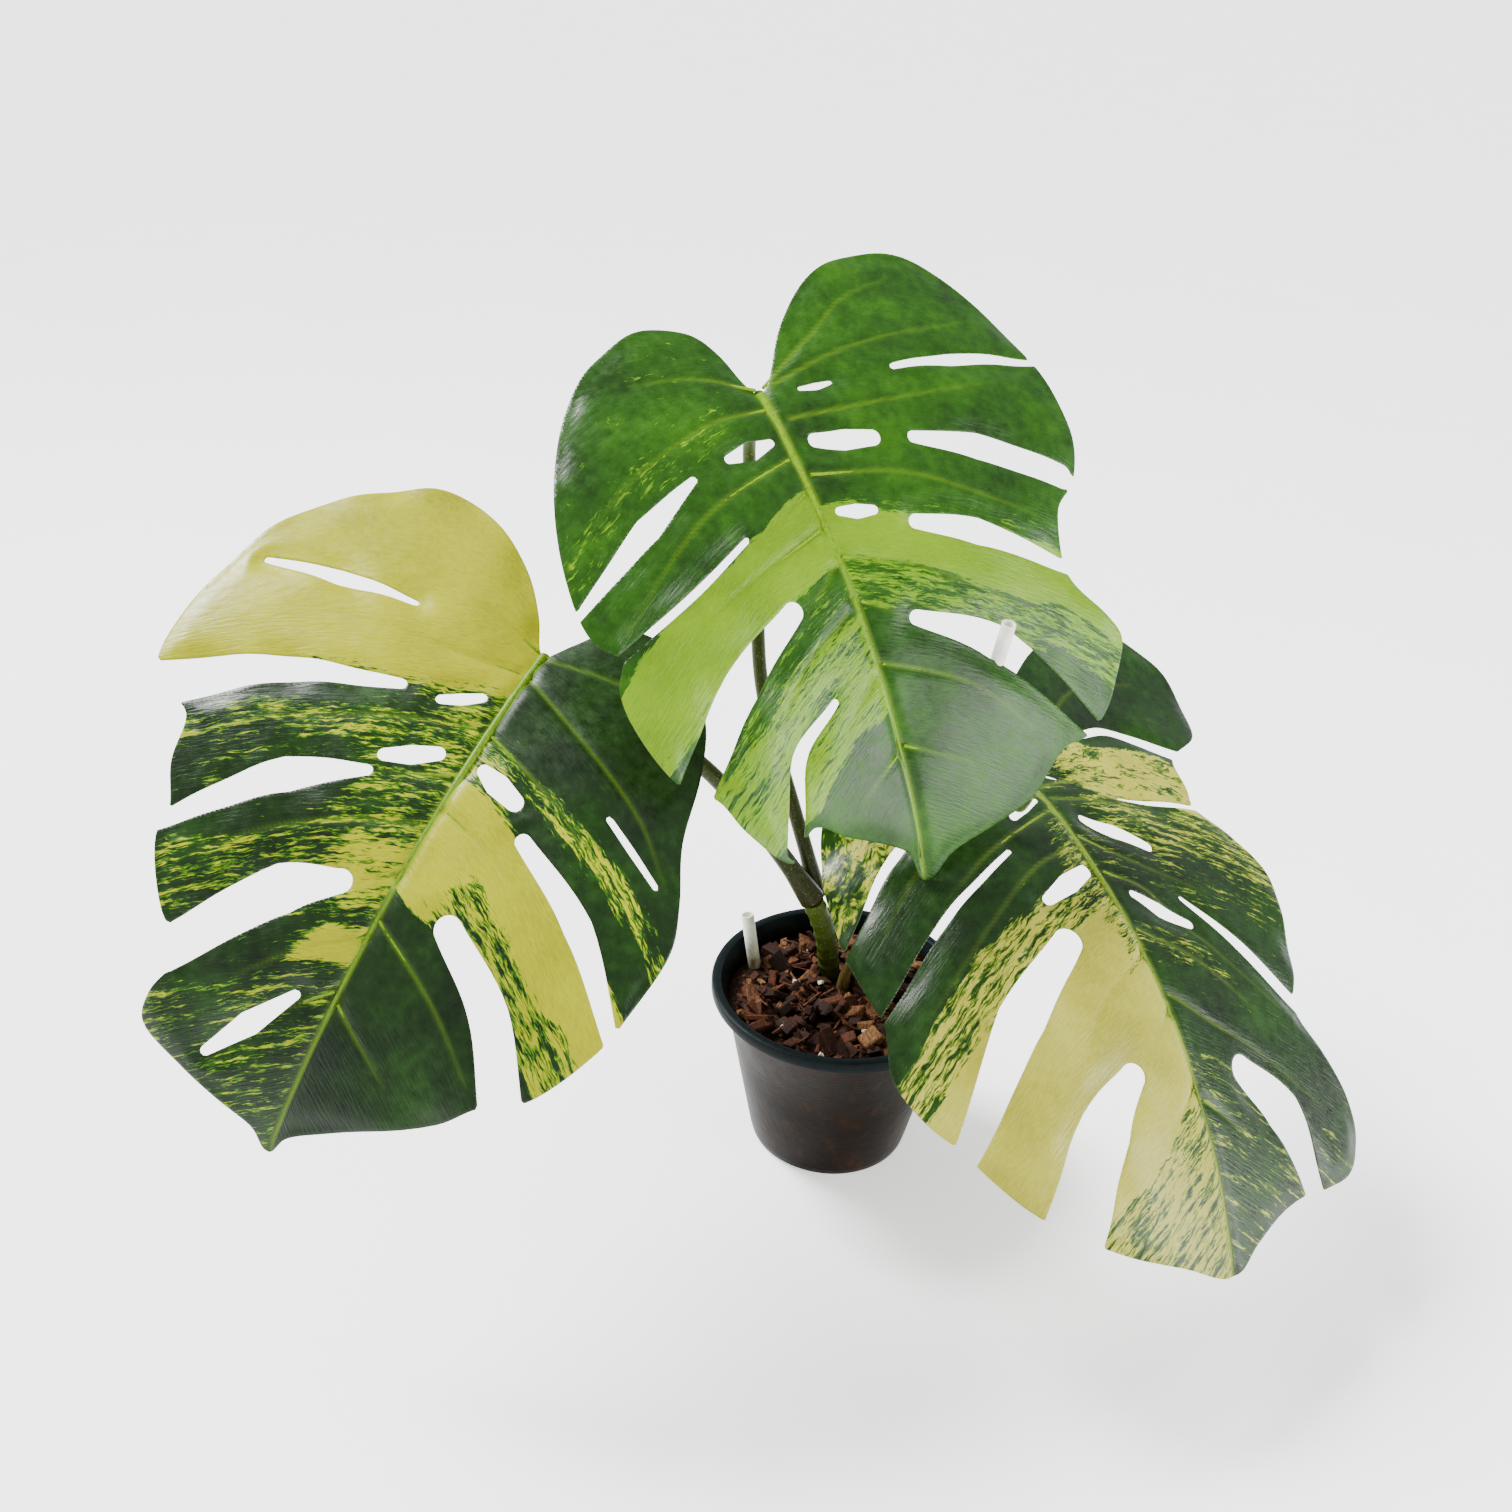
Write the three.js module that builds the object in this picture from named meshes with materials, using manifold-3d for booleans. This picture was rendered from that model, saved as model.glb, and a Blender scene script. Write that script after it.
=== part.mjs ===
// A young variegated monstera in a round nursery pot, in millimetres, +Z up.
// The origin is the centre of the pot's foot, and the plant leans over the front, which faces -Y.
import * as THREE from 'three';
import { mergeVertices } from 'three/addons/utils/BufferGeometryUtils.js';
import Module from 'manifold-3d';

// ---- driving dimensions ----

// Pot: a thin tapered shell with a folded lip.
const RIM_RADIUS = 75;
const POT_HEIGHT = 109;
const FOOT_RADIUS = 47;
const POT_WALL = 1.6;
const FLOOR_THICKNESS = 2;
const LIP_HEIGHT = 7;
const LIP_TOP_WIDTH = 6;
const WALL_RADIUS_AT_LIP = 67.3;
const DRAIN_COUNT = 6;
const DRAIN_RADIUS = 5;
const DRAIN_CIRCLE_RADIUS = 30;

// Potting mix and the husk chips on it.
const MIX_TOP = 95;
const GAP = 0.35;
const CHIP_COUNT = 14;
const CHIP_LENGTH = 19;
const CHIP_WIDTH = 13;
const CHIP_THICKNESS = 4;
const CHIP_SPACING = 12.6;
const CHIP_CLEARANCE = 18;
const CHIP_SPIRAL_LENGTH = 20;

// Support stakes: plastic tubes, open at both ends.
const STAKE_RADIUS = 3.8;
const STAKE_BORE = 2.9;

// Stem and petioles.
const STEM_RADIUS = 6.6;
const STEM_ROOT_DEPTH = 40;
const SHEATH_RADIUS = 4.2;
const PETIOLE_TIP_RADIUS = 3.2;
const PETIOLE_STEPS = 18;
const TUBE_SIDES = 10;

// Leaf blades. In a blade's own plane, u runs from its attachment to its tip and v runs across it,
// with v positive on the side nearer the right of the plant.
const BLADE_THICKNESS = 0.9;
const GRID_STEP = 15;
const MARGIN_STEPS = 3;
const CUT_STEPS = 4;
const DROOP_HALF_WIDTH = 150;
const BACK_BLEND = 60;

// heading and pitch aim the midrib, bend is how far it turns down by its tip, and backBend the same
// behind the attachment. fold lifts the two halves, and droop is how far each turns down by its edge.
const LEAVES = {
  leaf_left: {
    at: [-166, -20, 320], heading: 247.3, pitch: -17.4, bend: 55.3, backBend: -10, roll: -18.2,
    length: 287, fold: 6, droop: [12, 12], backDroop: [12, 12],
    margin: [[0, 0], [-20, -14], [-45, -36], [-62, -64], [-68, -94], [-52, -120], [-14, -152],
      [40, -164], [88, -164], [108, -154], [116, -132], [140, -125], [160, -114], [174, -114],
      [204, -93], [216, -76], [240, -82], [255, -80], [267, -52], [278, -12], [288, 0],
      [276, 6], [260, 27], [232, 70], [216, 84], [205, 101], [190, 112], [163, 124], [148, 127],
      [112, 131], [90, 124], [62, 111], [25, 102], [-8, 88], [-38, 60], [-36, 26], [-14, 9]],
    cuts: [
      { path: [[54, -50], [76, -106], [112, -156]], widths: [6, 15, 26] },
      { path: [[101, -40], [120, -72], [170, -118]], widths: [6, 18, 7] },
      { path: [[153, -24], [168, -46], [220, -84]], widths: [12, 24, 20] },
      { path: [[210, -18], [232, -32], [254, -46]], widths: [5, 12, 5] },
      { path: [[9, -70], [15, -111], [23, -148]], widths: [4, 11, 4] },
      { path: [[51, -29], [46, -21], [40, -13]], widths: [6, 8, 6] },
      { path: [[90, -37], [84, -26], [77, -15]], widths: [7, 10, 7] },
      { path: [[74, 8], [78, 18], [82, 30]], widths: [7, 12, 9] },
      { path: [[150, 33], [176, 69], [216, 97]], widths: [14, 19, 21] },
      { path: [[97, 43], [122, 87], [166, 130]], widths: [8, 14, 6] },
      { path: [[68, 74], [78, 92], [88, 110]], widths: [2, 3, 2] }],
  },
  leaf_top: {
    at: [-63, 45, 442], heading: -54.4, pitch: -34, bend: 46.6, backBend: -10, roll: 10.8,
    length: 271, fold: 6, droop: [16, 16], backDroop: [16, 16],
    margin: [[0, 0], [-26, -10], [-44, -22], [-52, -44], [-44, -70], [-28, -92], [6, -116],
      [45, -131], [82, -136], [98, -133], [110, -124], [122, -130], [140, -130], [174, -118],
      [189, -101], [208, -92], [232, -72], [218, -58], [229, -42], [252, -8], [272, 0],
      [260, 18], [253, 50], [246, 72], [229, 92], [228, 112], [202, 138], [185, 145], [170, 139],
      [146, 124], [126, 124], [108, 130], [96, 148], [76, 158], [50, 161], [22, 157], [-10, 147],
      [-40, 132], [-58, 116], [-65, 86], [-58, 56], [-34, 28]],
    cuts: [
      { path: [[37, -56], [54, -88], [86, -140]], widths: [4, 13, 3] },
      { path: [[74, -43], [90, -76], [112, -132]], widths: [3, 4, 4] },
      { path: [[115, -35], [140, -73], [190, -118]], widths: [11, 19, 18] },
      { path: [[163, -29], [183, -55], [226, -70]], widths: [4, 8, 9] },
      { path: [[8, 74], [12, 108], [26, 164]], widths: [4, 8, 4] },
      { path: [[49, 65], [63, 98], [92, 142]], widths: [7, 16, 14] },
      { path: [[91, 47], [106, 77], [142, 128]], widths: [8, 15, 6] },
      { path: [[137, 28], [162, 67], [228, 116]], widths: [8, 18, 9] },
      { path: [[5, 20], [6, 29], [6, 37]], widths: [3, 5, 3] },
      { path: [[34, 15], [39, 29], [43, 43]], widths: [8, 12, 9] },
      { path: [[74, 10], [77, 18], [79, 27]], widths: [5, 8, 5] },
      { path: [[29, -9], [30, -20], [31, -33]], widths: [5, 11, 5] }],
  },
  leaf_right: {
    at: [100, 26, 232], heading: -58, pitch: -13, bend: 46, backBend: -90, roll: -14,
    length: 284, fold: 2, droop: [50, 0], backDroop: [8, 0],
    margin: [[0, 0], [-6, -9], [-1, -26], [5, -46], [-6, -66], [-24, -90], [-22, -122], [2, -143],
      [34, -153], [64, -157], [88, -156], [112, -154], [142, -160], [174, -150], [192, -138],
      [212, -126], [232, -110], [250, -86], [262, -64], [272, -36], [284, 0],
      [271, 20], [256, 62], [256, 84], [252, 103], [235, 116], [214, 114], [187, 105], [162, 98],
      [140, 109], [104, 123], [83, 131], [52, 122], [32, 110], [16, 118], [0, 123], [-14, 134],
      [-30, 166], [-58, 174], [-88, 164], [-106, 138], [-112, 102], [-98, 62], [-66, 26], [-26, 8]],
    cuts: [
      { path: [[6, -72], [18, -106], [66, -164]], widths: [2, 7, 2] },
      { path: [[42, -48], [68, -102], [114, -162]], widths: [3, 5, 3] },
      { path: [[102, -46], [134, -88], [202, -140]], widths: [16, 25, 13] },
      { path: [[177, -40], [198, -64], [258, -98]], widths: [14, 27, 34] },
      { path: [[-36, 58], [-38, 96], [-8, 148]], widths: [4, 7, 12] },
      { path: [[16, 56], [24, 84], [32, 118]], widths: [2, 4, 5] },
      { path: [[88, 50], [122, 74], [168, 106]], widths: [3, 7, 8] },
      { path: [[186, 38], [212, 60], [262, 74]], widths: [16, 26, 15] },
      { path: [[28, 18], [40, 33], [53, 50]], widths: [6, 11, 7] },
      { path: [[82, 15], [93, 30], [104, 46]], widths: [5, 10, 6] },
      { path: [[64, -9], [70, -26], [76, -43]], widths: [8, 12, 7] },
      { path: [[11, -8], [16, -20], [21, -31]], widths: [5, 7, 5] },
      { path: [[-8, 14], [-6, 18], [-4, 23]], widths: [2, 3, 2] }],
  },
};

// Routes of the stem, of the old leaf base beside it, and of the petioles, from the mix up.
const STEM_ROUTE = [[-5, 22, MIX_TOP - STEM_ROOT_DEPTH], [-5, 22, MIX_TOP], [-7, 21, 112], [-10.5, 20, 130],
  [-18, 19, 150]];
const SHEATH_ROUTE = [[3, 11, MIX_TOP - 12], [3, 11, MIX_TOP + 4], [5, 9, 112], [9, 6, 124]];
const PETIOLES = {
  petiole_left: {
    leaf: 'leaf_left', radius: 6,
    route: [[-18.7, 19, 151.6], [-32, 19, 172], [-51, 18, 199], [-85, 15, 239.5], [-119, 9, 268], [-150, -3, 296]],
  },
  petiole_top: {
    leaf: 'leaf_top', radius: 4.6,
    route: [[-16, 31.5, 147], [-23, 31, 174], [-32, 38, 200], [-54.5, 56, 270], [-61, 69, 340], [-68, 76, 400]],
  },
  petiole_right: {
    leaf: 'leaf_right', radius: 4.6,
    route: [[-5, 22.5, 147], [4, 30, 161], [18, 41, 178], [54, 55, 203], [90, 50, 216]],
  },
};
const PETIOLE_END_LIFT = 16;

// Where each stake's centre line meets the mix, where it ends, and how deep it is pushed in.
const STAKES = {
  stake_left: { foot: [-50, 28, MIX_TOP], top: [-56, 31, 130], depth: 26 },
  stake_right: { foot: [38, 26, MIX_TOP], top: [68.5, -10.5, 346.5], depth: 45 },
};

const UP = new THREE.Vector3(0, 0, 1);
const wasm = await Module();
wasm.setup();

// ---- materials ----

function plastic(color, roughness) {
  return new THREE.MeshStandardMaterial({ color, roughness, metalness: 0 });
}

function potMaterial() {
  return plastic(0x1b1712, 0.42);
}

function mixMaterial() {
  return plastic(0x2c1a12, 0.95);
}

function chipMaterial(index) {
  const browns = [0x4a2a1a, 0x6b4328, 0x3a2016, 0x7d5a3a];
  return plastic(browns[index % browns.length], 0.9);
}

function stemMaterial() {
  return plastic(0x3d4414, 0.5);
}

function stakeMaterial() {
  return plastic(0xe9e6dc, 0.5);
}

function leafMaterial() {
  return plastic(0x3c6a12, 0.4);
}

// ---- solids ----

// Turns a closed three.js geometry into a solid that can be cut and joined.
function solidOf(geometry) {
  const bare = geometry.clone();
  bare.deleteAttribute('normal');
  bare.deleteAttribute('uv');
  const merged = mergeVertices(bare, 1e-4);
  return new wasm.Manifold(new wasm.Mesh({
    numProp: 3,
    vertProperties: new Float32Array(merged.attributes.position.array),
    triVerts: new Uint32Array(merged.index.array),
  }));
}

function geometryOf(solid) {
  const mesh = solid.getMesh();
  const geometry = new THREE.BufferGeometry();
  geometry.setAttribute('position', new THREE.BufferAttribute(new Float32Array(mesh.vertProperties), 3));
  geometry.setIndex(new THREE.BufferAttribute(new Uint32Array(mesh.triVerts), 1));
  geometry.computeVertexNormals();
  return geometry;
}

function named(name, geometry, material) {
  const mesh = new THREE.Mesh(geometry, material);
  mesh.name = name;
  return mesh;
}

// A closed ring or disc turned about Z from points given as [radius, height].
function turned(profile, segments) {
  const points = profile.map(([radius, height]) => new THREE.Vector2(radius, height));
  const geometry = new THREE.LatheGeometry(points, segments);
  geometry.rotateX(Math.PI / 2);
  return geometry;
}

function curveThrough(points) {
  return new THREE.CatmullRomCurve3(points.map((point) => new THREE.Vector3(...point)), false, 'centripetal');
}

// A round tube along a curve, its radius running evenly from one end to the other.
function taperedTube(curve, startRadius, endRadius, steps) {
  const ring = new THREE.Shape();
  ring.absarc(0, 0, startRadius, 0, 2 * Math.PI, false);
  const geometry = new THREE.ExtrudeGeometry(ring, {
    steps, curveSegments: TUBE_SIDES / 2, bevelEnabled: false, extrudePath: curve,
  });
  const stations = curve.getSpacedPoints(steps);
  const position = geometry.attributes.position;
  const vertex = new THREE.Vector3();
  for (let i = 0; i < position.count; i += 1) {
    vertex.fromBufferAttribute(position, i);
    const distances = stations.map((station) => station.distanceTo(vertex));
    const nearest = distances.indexOf(Math.min(...distances));
    const scale = THREE.MathUtils.lerp(1, endRadius / startRadius, nearest / steps);
    vertex.sub(stations[nearest]).multiplyScalar(scale).add(stations[nearest]);
    position.setXYZ(i, vertex.x, vertex.y, vertex.z);
  }
  return geometry;
}

// ---- pot ----

function wallRadius(height) {
  return THREE.MathUtils.mapLinear(height, 0, POT_HEIGHT - LIP_HEIGHT, FOOT_RADIUS, WALL_RADIUS_AT_LIP);
}

function potGeometry() {
  const lipFoot = POT_HEIGHT - LIP_HEIGHT;
  const lipInner = RIM_RADIUS - LIP_TOP_WIDTH;
  const shell = solidOf(turned([
    [0, 0], [FOOT_RADIUS - 2, 0], [wallRadius(2), 2], [wallRadius(lipFoot), lipFoot],
    [RIM_RADIUS - 1, lipFoot], [RIM_RADIUS, lipFoot + 1], [RIM_RADIUS, POT_HEIGHT - 1.5],
    [RIM_RADIUS - 1.5, POT_HEIGHT], [lipInner + 1, POT_HEIGHT], [lipInner, POT_HEIGHT - 1],
    [wallRadius(lipFoot) - POT_WALL, lipFoot - 2], [wallRadius(FLOOR_THICKNESS) - POT_WALL, FLOOR_THICKNESS],
    [0, FLOOR_THICKNESS],
  ], 48));
  const drain = new THREE.CylinderGeometry(DRAIN_RADIUS, DRAIN_RADIUS, 4 * FLOOR_THICKNESS, 12);
  drain.rotateX(Math.PI / 2);
  let pot = shell;
  for (let i = 0; i < DRAIN_COUNT; i += 1) {
    const angle = (2 * Math.PI * i) / DRAIN_COUNT;
    const hole = drain.clone();
    hole.translate(DRAIN_CIRCLE_RADIUS * Math.cos(angle), DRAIN_CIRCLE_RADIUS * Math.sin(angle), 0);
    pot = pot.subtract(solidOf(hole));
  }
  return geometryOf(pot);
}

// ---- stem, sheath, petioles and stakes ----

function stemTube(clearance) {
  return taperedTube(curveThrough(STEM_ROUTE), STEM_RADIUS + clearance, STEM_RADIUS + clearance, 8);
}

function sheathTube(clearance) {
  return taperedTube(curveThrough(SHEATH_ROUTE), SHEATH_RADIUS + clearance, SHEATH_RADIUS * 0.6 + clearance, 6);
}

function stakeSolid(stake, outerRadius, boreRadius) {
  const foot = new THREE.Vector3(...stake.foot);
  const top = new THREE.Vector3(...stake.top);
  const direction = top.clone().sub(foot).normalize();
  const start = foot.clone().addScaledVector(direction, -stake.depth);
  const length = start.distanceTo(top);
  const wall = [[boreRadius, 0], [outerRadius, 0], [outerRadius, length], [boreRadius, length], [boreRadius, 0]];
  const rod = [[0, 0], [outerRadius, 0], [outerRadius, length], [0, length]];
  const geometry = turned(boreRadius > 0 ? wall : rod, 16);
  geometry.applyQuaternion(new THREE.Quaternion().setFromUnitVectors(UP, direction));
  geometry.translate(start.x, start.y, start.z);
  return geometry;
}

// ---- leaf blades ----

// Distance along and height of an arc that starts at a slope and turns down steadily.
function arcPoint(distance, slope, turnPerMm) {
  const turn = Math.abs(turnPerMm) < 1e-7 ? 1e-7 : turnPerMm;
  const end = slope - turn * distance;
  return { along: (Math.sin(slope) - Math.sin(end)) / turn, up: (Math.cos(end) - Math.cos(slope)) / turn, slope: end };
}

function bladeAxes(leaf) {
  const heading = THREE.MathUtils.degToRad(leaf.heading);
  const pitch = THREE.MathUtils.degToRad(leaf.pitch);
  const forward = new THREE.Vector3(Math.cos(heading), Math.sin(heading), 0);
  const across = new THREE.Vector3(-Math.sin(heading), Math.cos(heading), 0);
  const midrib = forward.clone().multiplyScalar(Math.cos(pitch)).addScaledVector(UP, Math.sin(pitch));
  const roll = THREE.MathUtils.degToRad(leaf.roll);
  return [forward, across, UP.clone()].map((axis) => axis.applyAxisAngle(midrib, roll));
}

// Places the flat point (u, v), lifted off the blade by depth, on the bent blade.
function bentPoint(leaf, u, v, depth) {
  const [forward, across, up] = bladeAxes(leaf);
  const pitch = THREE.MathUtils.degToRad(leaf.pitch);
  const bend = THREE.MathUtils.degToRad(u < 0 ? leaf.backBend : leaf.bend) / leaf.length;
  const spine = arcPoint(u, pitch, bend);
  const side = v > 0 ? 1 : 0;
  const blend = THREE.MathUtils.smoothstep(u, -BACK_BLEND, 0);
  const droop = THREE.MathUtils.degToRad(THREE.MathUtils.lerp(leaf.backDroop[side], leaf.droop[side], blend));
  const half = arcPoint(Math.abs(v), THREE.MathUtils.degToRad(leaf.fold), droop / DROOP_HALF_WIDTH);
  const sideways = Math.sign(v);
  const normal = forward.clone().multiplyScalar(-Math.sin(spine.slope)).addScaledVector(up, Math.cos(spine.slope));
  const skin = normal.clone().multiplyScalar(Math.cos(half.slope));
  skin.addScaledVector(across, -sideways * Math.sin(half.slope));
  return new THREE.Vector3(...leaf.at)
    .addScaledVector(forward, spine.along)
    .addScaledVector(up, spine.up)
    .addScaledVector(across, sideways * half.along)
    .addScaledVector(normal, half.up)
    .addScaledVector(skin, depth);
}

function prism(outline) {
  const depth = 120;
  const geometry = new THREE.ExtrudeGeometry(new THREE.Shape(outline), { depth, bevelEnabled: false });
  geometry.translate(0, 0, -depth / 4);
  return solidOf(geometry);
}

function marginOutline(margin) {
  const points = margin.map(([u, v]) => new THREE.Vector3(u, v, 0));
  const curve = new THREE.CatmullRomCurve3(points, true, 'centripetal');
  const outline = curve.getPoints(margin.length * MARGIN_STEPS).slice(0, -1);
  return outline.map((point) => new THREE.Vector2(point.x, point.y));
}

// A slot with round ends that follows three points and widens and narrows between them.
function cutOutline({ path, widths }) {
  const curve = curveThrough(path.map(([u, v]) => [u, v, 0]));
  const leftSide = [];
  const rightSide = [];
  for (let i = 0; i <= CUT_STEPS; i += 1) {
    const t = i / CUT_STEPS;
    const [from, to, part] = t < 0.5 ? [widths[0], widths[1], 2 * t] : [widths[1], widths[2], 2 * t - 1];
    const reach = THREE.MathUtils.lerp(from, to, part) / 2;
    const point = curve.getPoint(t);
    const tangent = curve.getTangent(t);
    leftSide.push(new THREE.Vector2(point.x - tangent.y * reach, point.y + tangent.x * reach));
    rightSide.push(new THREE.Vector2(point.x + tangent.y * reach, point.y - tangent.x * reach));
  }
  const nose = (t, reach, sign) => {
    const point = curve.getPoint(t);
    const tangent = curve.getTangent(t);
    return new THREE.Vector2(point.x + sign * tangent.x * reach, point.y + sign * tangent.y * reach);
  };
  return [nose(0, widths[0] / 2, -1), ...rightSide, nose(1, widths[2] / 2, 1), ...leftSide.reverse()];
}

// A shallow bowl keeps the slab's grid through the cut, and is taken out again before the bend.
function bowl(u, v) {
  return (u * u + v * v) / 2500;
}

function moveEach(geometry, place) {
  const position = geometry.attributes.position;
  for (let i = 0; i < position.count; i += 1) {
    const moved = place(position.getX(i), position.getY(i), position.getZ(i));
    position.setXYZ(i, moved.x, moved.y, moved.z);
  }
  return geometry;
}

function bladeGeometry(leaf) {
  const us = leaf.margin.map(([u]) => u);
  const vs = leaf.margin.map(([, v]) => v);
  const size = [Math.max(...us) - Math.min(...us) + GRID_STEP, Math.max(...vs) - Math.min(...vs) + GRID_STEP];
  const centre = [(Math.max(...us) + Math.min(...us)) / 2, (Math.max(...vs) + Math.min(...vs)) / 2];
  const cells = size.map((side) => Math.ceil(side / GRID_STEP));
  const slab = new THREE.BoxGeometry(size[0], size[1], BLADE_THICKNESS, cells[0], cells[1], 1);
  slab.translate(centre[0], centre[1], 0);
  moveEach(slab, (u, v, depth) => new THREE.Vector3(u, v, depth + bowl(u, v)));
  let blade = solidOf(slab).intersect(prism(marginOutline(leaf.margin)));
  for (const cut of leaf.cuts) {
    blade = blade.subtract(prism(cutOutline(cut)));
  }
  return moveEach(geometryOf(blade), (u, v, z) => bentPoint(leaf, u, v, z - bowl(u, v)));
}

// ---- potting mix and husk chips ----

function mixGeometry() {
  const foot = FLOOR_THICKNESS + GAP;
  const reach = (height) => wallRadius(height) - POT_WALL - GAP - 0.2;
  let mix = solidOf(turned([
    [0, foot], [reach(foot), foot], [reach(MIX_TOP), MIX_TOP], [0, MIX_TOP],
  ], 40));
  const sockets = [stemTube(GAP), sheathTube(GAP)];
  for (const stake of Object.values(STAKES)) {
    sockets.push(stakeSolid(stake, STAKE_RADIUS + GAP, 0));
  }
  for (const socket of sockets) {
    mix = mix.subtract(solidOf(socket));
  }
  return geometryOf(mix);
}

// A flake of husk: a small box with uneven corners that lies just above the mix.
function chipGeometry(index) {
  const wobble = (step) => 0.5 + 0.5 * Math.sin(12.9 * (index + 1) + 7.7 * step);
  const length = CHIP_LENGTH * (0.6 + 0.5 * wobble(1));
  const width = CHIP_WIDTH * (0.6 + 0.5 * wobble(2));
  const geometry = new THREE.BoxGeometry(length, width, CHIP_THICKNESS * (0.6 + 0.6 * wobble(3)), 2, 1, 1);
  moveEach(geometry, (x, y, z) => {
    const pinch = 0.72 + 0.28 * Math.cos(3 * x / length + 9 * wobble(4));
    return new THREE.Vector3(x, y * pinch, z + 0.06 * x * Math.sin(y) * wobble(5));
  });
  geometry.rotateX(0.25 * (wobble(6) - 0.5));
  geometry.rotateY(0.5 * (wobble(7) - 0.5));
  geometry.rotateZ(2 * Math.PI * wobble(8));
  return geometry;
}

// Chips sit on a sunflower spiral that leaves out the places taken by the stem and the stakes.
function chipPlaces() {
  const goldenTurn = Math.PI * (3 - Math.sqrt(5));
  const taken = [...Object.values(STAKES).map((stake) => stake.foot), STEM_ROUTE[1], SHEATH_ROUTE[1]];
  const spiral = Array.from({ length: CHIP_SPIRAL_LENGTH }, (_, i) => {
    const radius = CHIP_SPACING * Math.sqrt(i + 0.5);
    return new THREE.Vector2(radius * Math.cos(i * goldenTurn), radius * Math.sin(i * goldenTurn));
  });
  const hasRoom = (place) => taken.every(([x, y]) => place.distanceTo(new THREE.Vector2(x, y)) > CHIP_CLEARANCE);
  return spiral.filter(hasRoom).slice(0, CHIP_COUNT);
}

// ---- assembly ----

const plant = new THREE.Group();
plant.add(named('pot', potGeometry(), potMaterial()));
plant.add(named('potting_mix', mixGeometry(), mixMaterial()));

chipPlaces().forEach((place, index) => {
  const geometry = chipGeometry(index);
  geometry.computeBoundingBox();
  const chip = named(`husk_chip_${String(index + 1).padStart(2, '0')}`, geometry, chipMaterial(index));
  chip.position.set(place.x, place.y, MIX_TOP + GAP - geometry.boundingBox.min.z);
  plant.add(chip);
});

plant.add(named('main_stem', stemTube(0), stemMaterial()));
plant.add(named('base_sheath', sheathTube(0), stemMaterial()));

for (const [name, { leaf, radius, route }] of Object.entries(PETIOLES)) {
  const blade = LEAVES[leaf];
  const lift = (depth) => bentPoint(blade, 0, 0, -depth).toArray();
  const clear = BLADE_THICKNESS / 2 + GAP + 0.3;
  const curve = curveThrough([...route, lift(PETIOLE_END_LIFT), lift(clear)]);
  plant.add(named(name, taperedTube(curve, radius, PETIOLE_TIP_RADIUS, PETIOLE_STEPS), stemMaterial()));
}

for (const [name, stake] of Object.entries(STAKES)) {
  plant.add(named(name, stakeSolid(stake, STAKE_RADIUS, STAKE_BORE), stakeMaterial()));
}

for (const [name, leaf] of Object.entries(LEAVES)) {
  plant.add(named(name, bladeGeometry(leaf), leafMaterial()));
}

export default plant;
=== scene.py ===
import math
import random

import bmesh
import bpy
import numpy as np
from mathutils import Euler, Matrix, Vector, noise


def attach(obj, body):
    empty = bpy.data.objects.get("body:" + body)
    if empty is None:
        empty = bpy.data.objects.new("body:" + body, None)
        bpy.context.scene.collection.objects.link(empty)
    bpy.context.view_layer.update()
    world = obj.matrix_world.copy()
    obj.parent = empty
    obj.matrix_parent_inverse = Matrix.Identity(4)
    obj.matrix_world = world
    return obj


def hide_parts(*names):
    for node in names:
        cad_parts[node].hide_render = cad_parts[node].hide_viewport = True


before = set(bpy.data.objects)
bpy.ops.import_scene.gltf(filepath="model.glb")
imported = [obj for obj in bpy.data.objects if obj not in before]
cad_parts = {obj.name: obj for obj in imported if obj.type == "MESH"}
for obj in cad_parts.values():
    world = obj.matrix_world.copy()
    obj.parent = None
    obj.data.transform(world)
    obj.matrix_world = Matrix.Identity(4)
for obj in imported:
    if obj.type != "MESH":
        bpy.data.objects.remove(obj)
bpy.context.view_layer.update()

# ---- nursery pot ----
# A thin blown polypropylene nursery pot, black-brown, with a rolled lip that shades to slate grey. The wall
# tapers to the foot, and six round drain holes are punched through the floor. Dust clings to the wall.
POT_HEIGHT = 0.109
RIM_RADIUS = 0.075
FOOT_RADIUS = 0.047
WALL_AT_LIP = 0.0673
LIP_FOOT = 0.102
WALL = 0.0016
FLOOR = 0.002
DRAIN_RADIUS = 0.005
DRAIN_CIRCLE = 0.03
DRAIN_COUNT = 6
POT_BROWN = "#120802"
POT_SCUFF = "#251407"
POT_SLATE = "#10181a"
POT_CLOUD_SCALE = 55
POT_SCUFF_SCALE = (120, 120, 60)
POT_PEBBLE_SCALE = 160
MOULD_LINE_TURNS = 2600
MOULD_LINE_SHARE = 0.03
POT_RELIEF = 0.0004
POT_STEPS = 128
WALL_MIDDLE = 0.05
FULL_TURN = 2 * math.pi


def tone(code):
    channels = [int(code[i:i + 2], 16) / 255 for i in (1, 3, 5)]
    return (*[c / 12.92 if c <= 0.04045 else ((c + 0.055) / 1.055) ** 2.4 for c in channels], 1)


def finish_start(name, roughness, gleam=0.14):
    finish = bpy.data.materials.new(name)
    finish.use_nodes = True
    shader = finish.node_tree.nodes["Principled BSDF"]
    shader.inputs["Roughness"].default_value = roughness
    shader.inputs["Specular IOR Level"].default_value = gleam
    return finish, finish.node_tree, shader


def node(tree, kind, inputs=None, **settings):
    made = tree.nodes.new("ShaderNode" + kind)
    for key, value in settings.items():
        setattr(made, key, value)
    for key, value in (inputs or {}).items():
        if isinstance(value, bpy.types.NodeSocket):
            tree.links.new(value, made.inputs[key])
        else:
            made.inputs[key].default_value = value
    return made


def sum_of(tree, a, factor, b):
    return node(tree, "Math", {0: a, 1: factor, 2: b}, operation="MULTIPLY_ADD").outputs[0]


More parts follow.
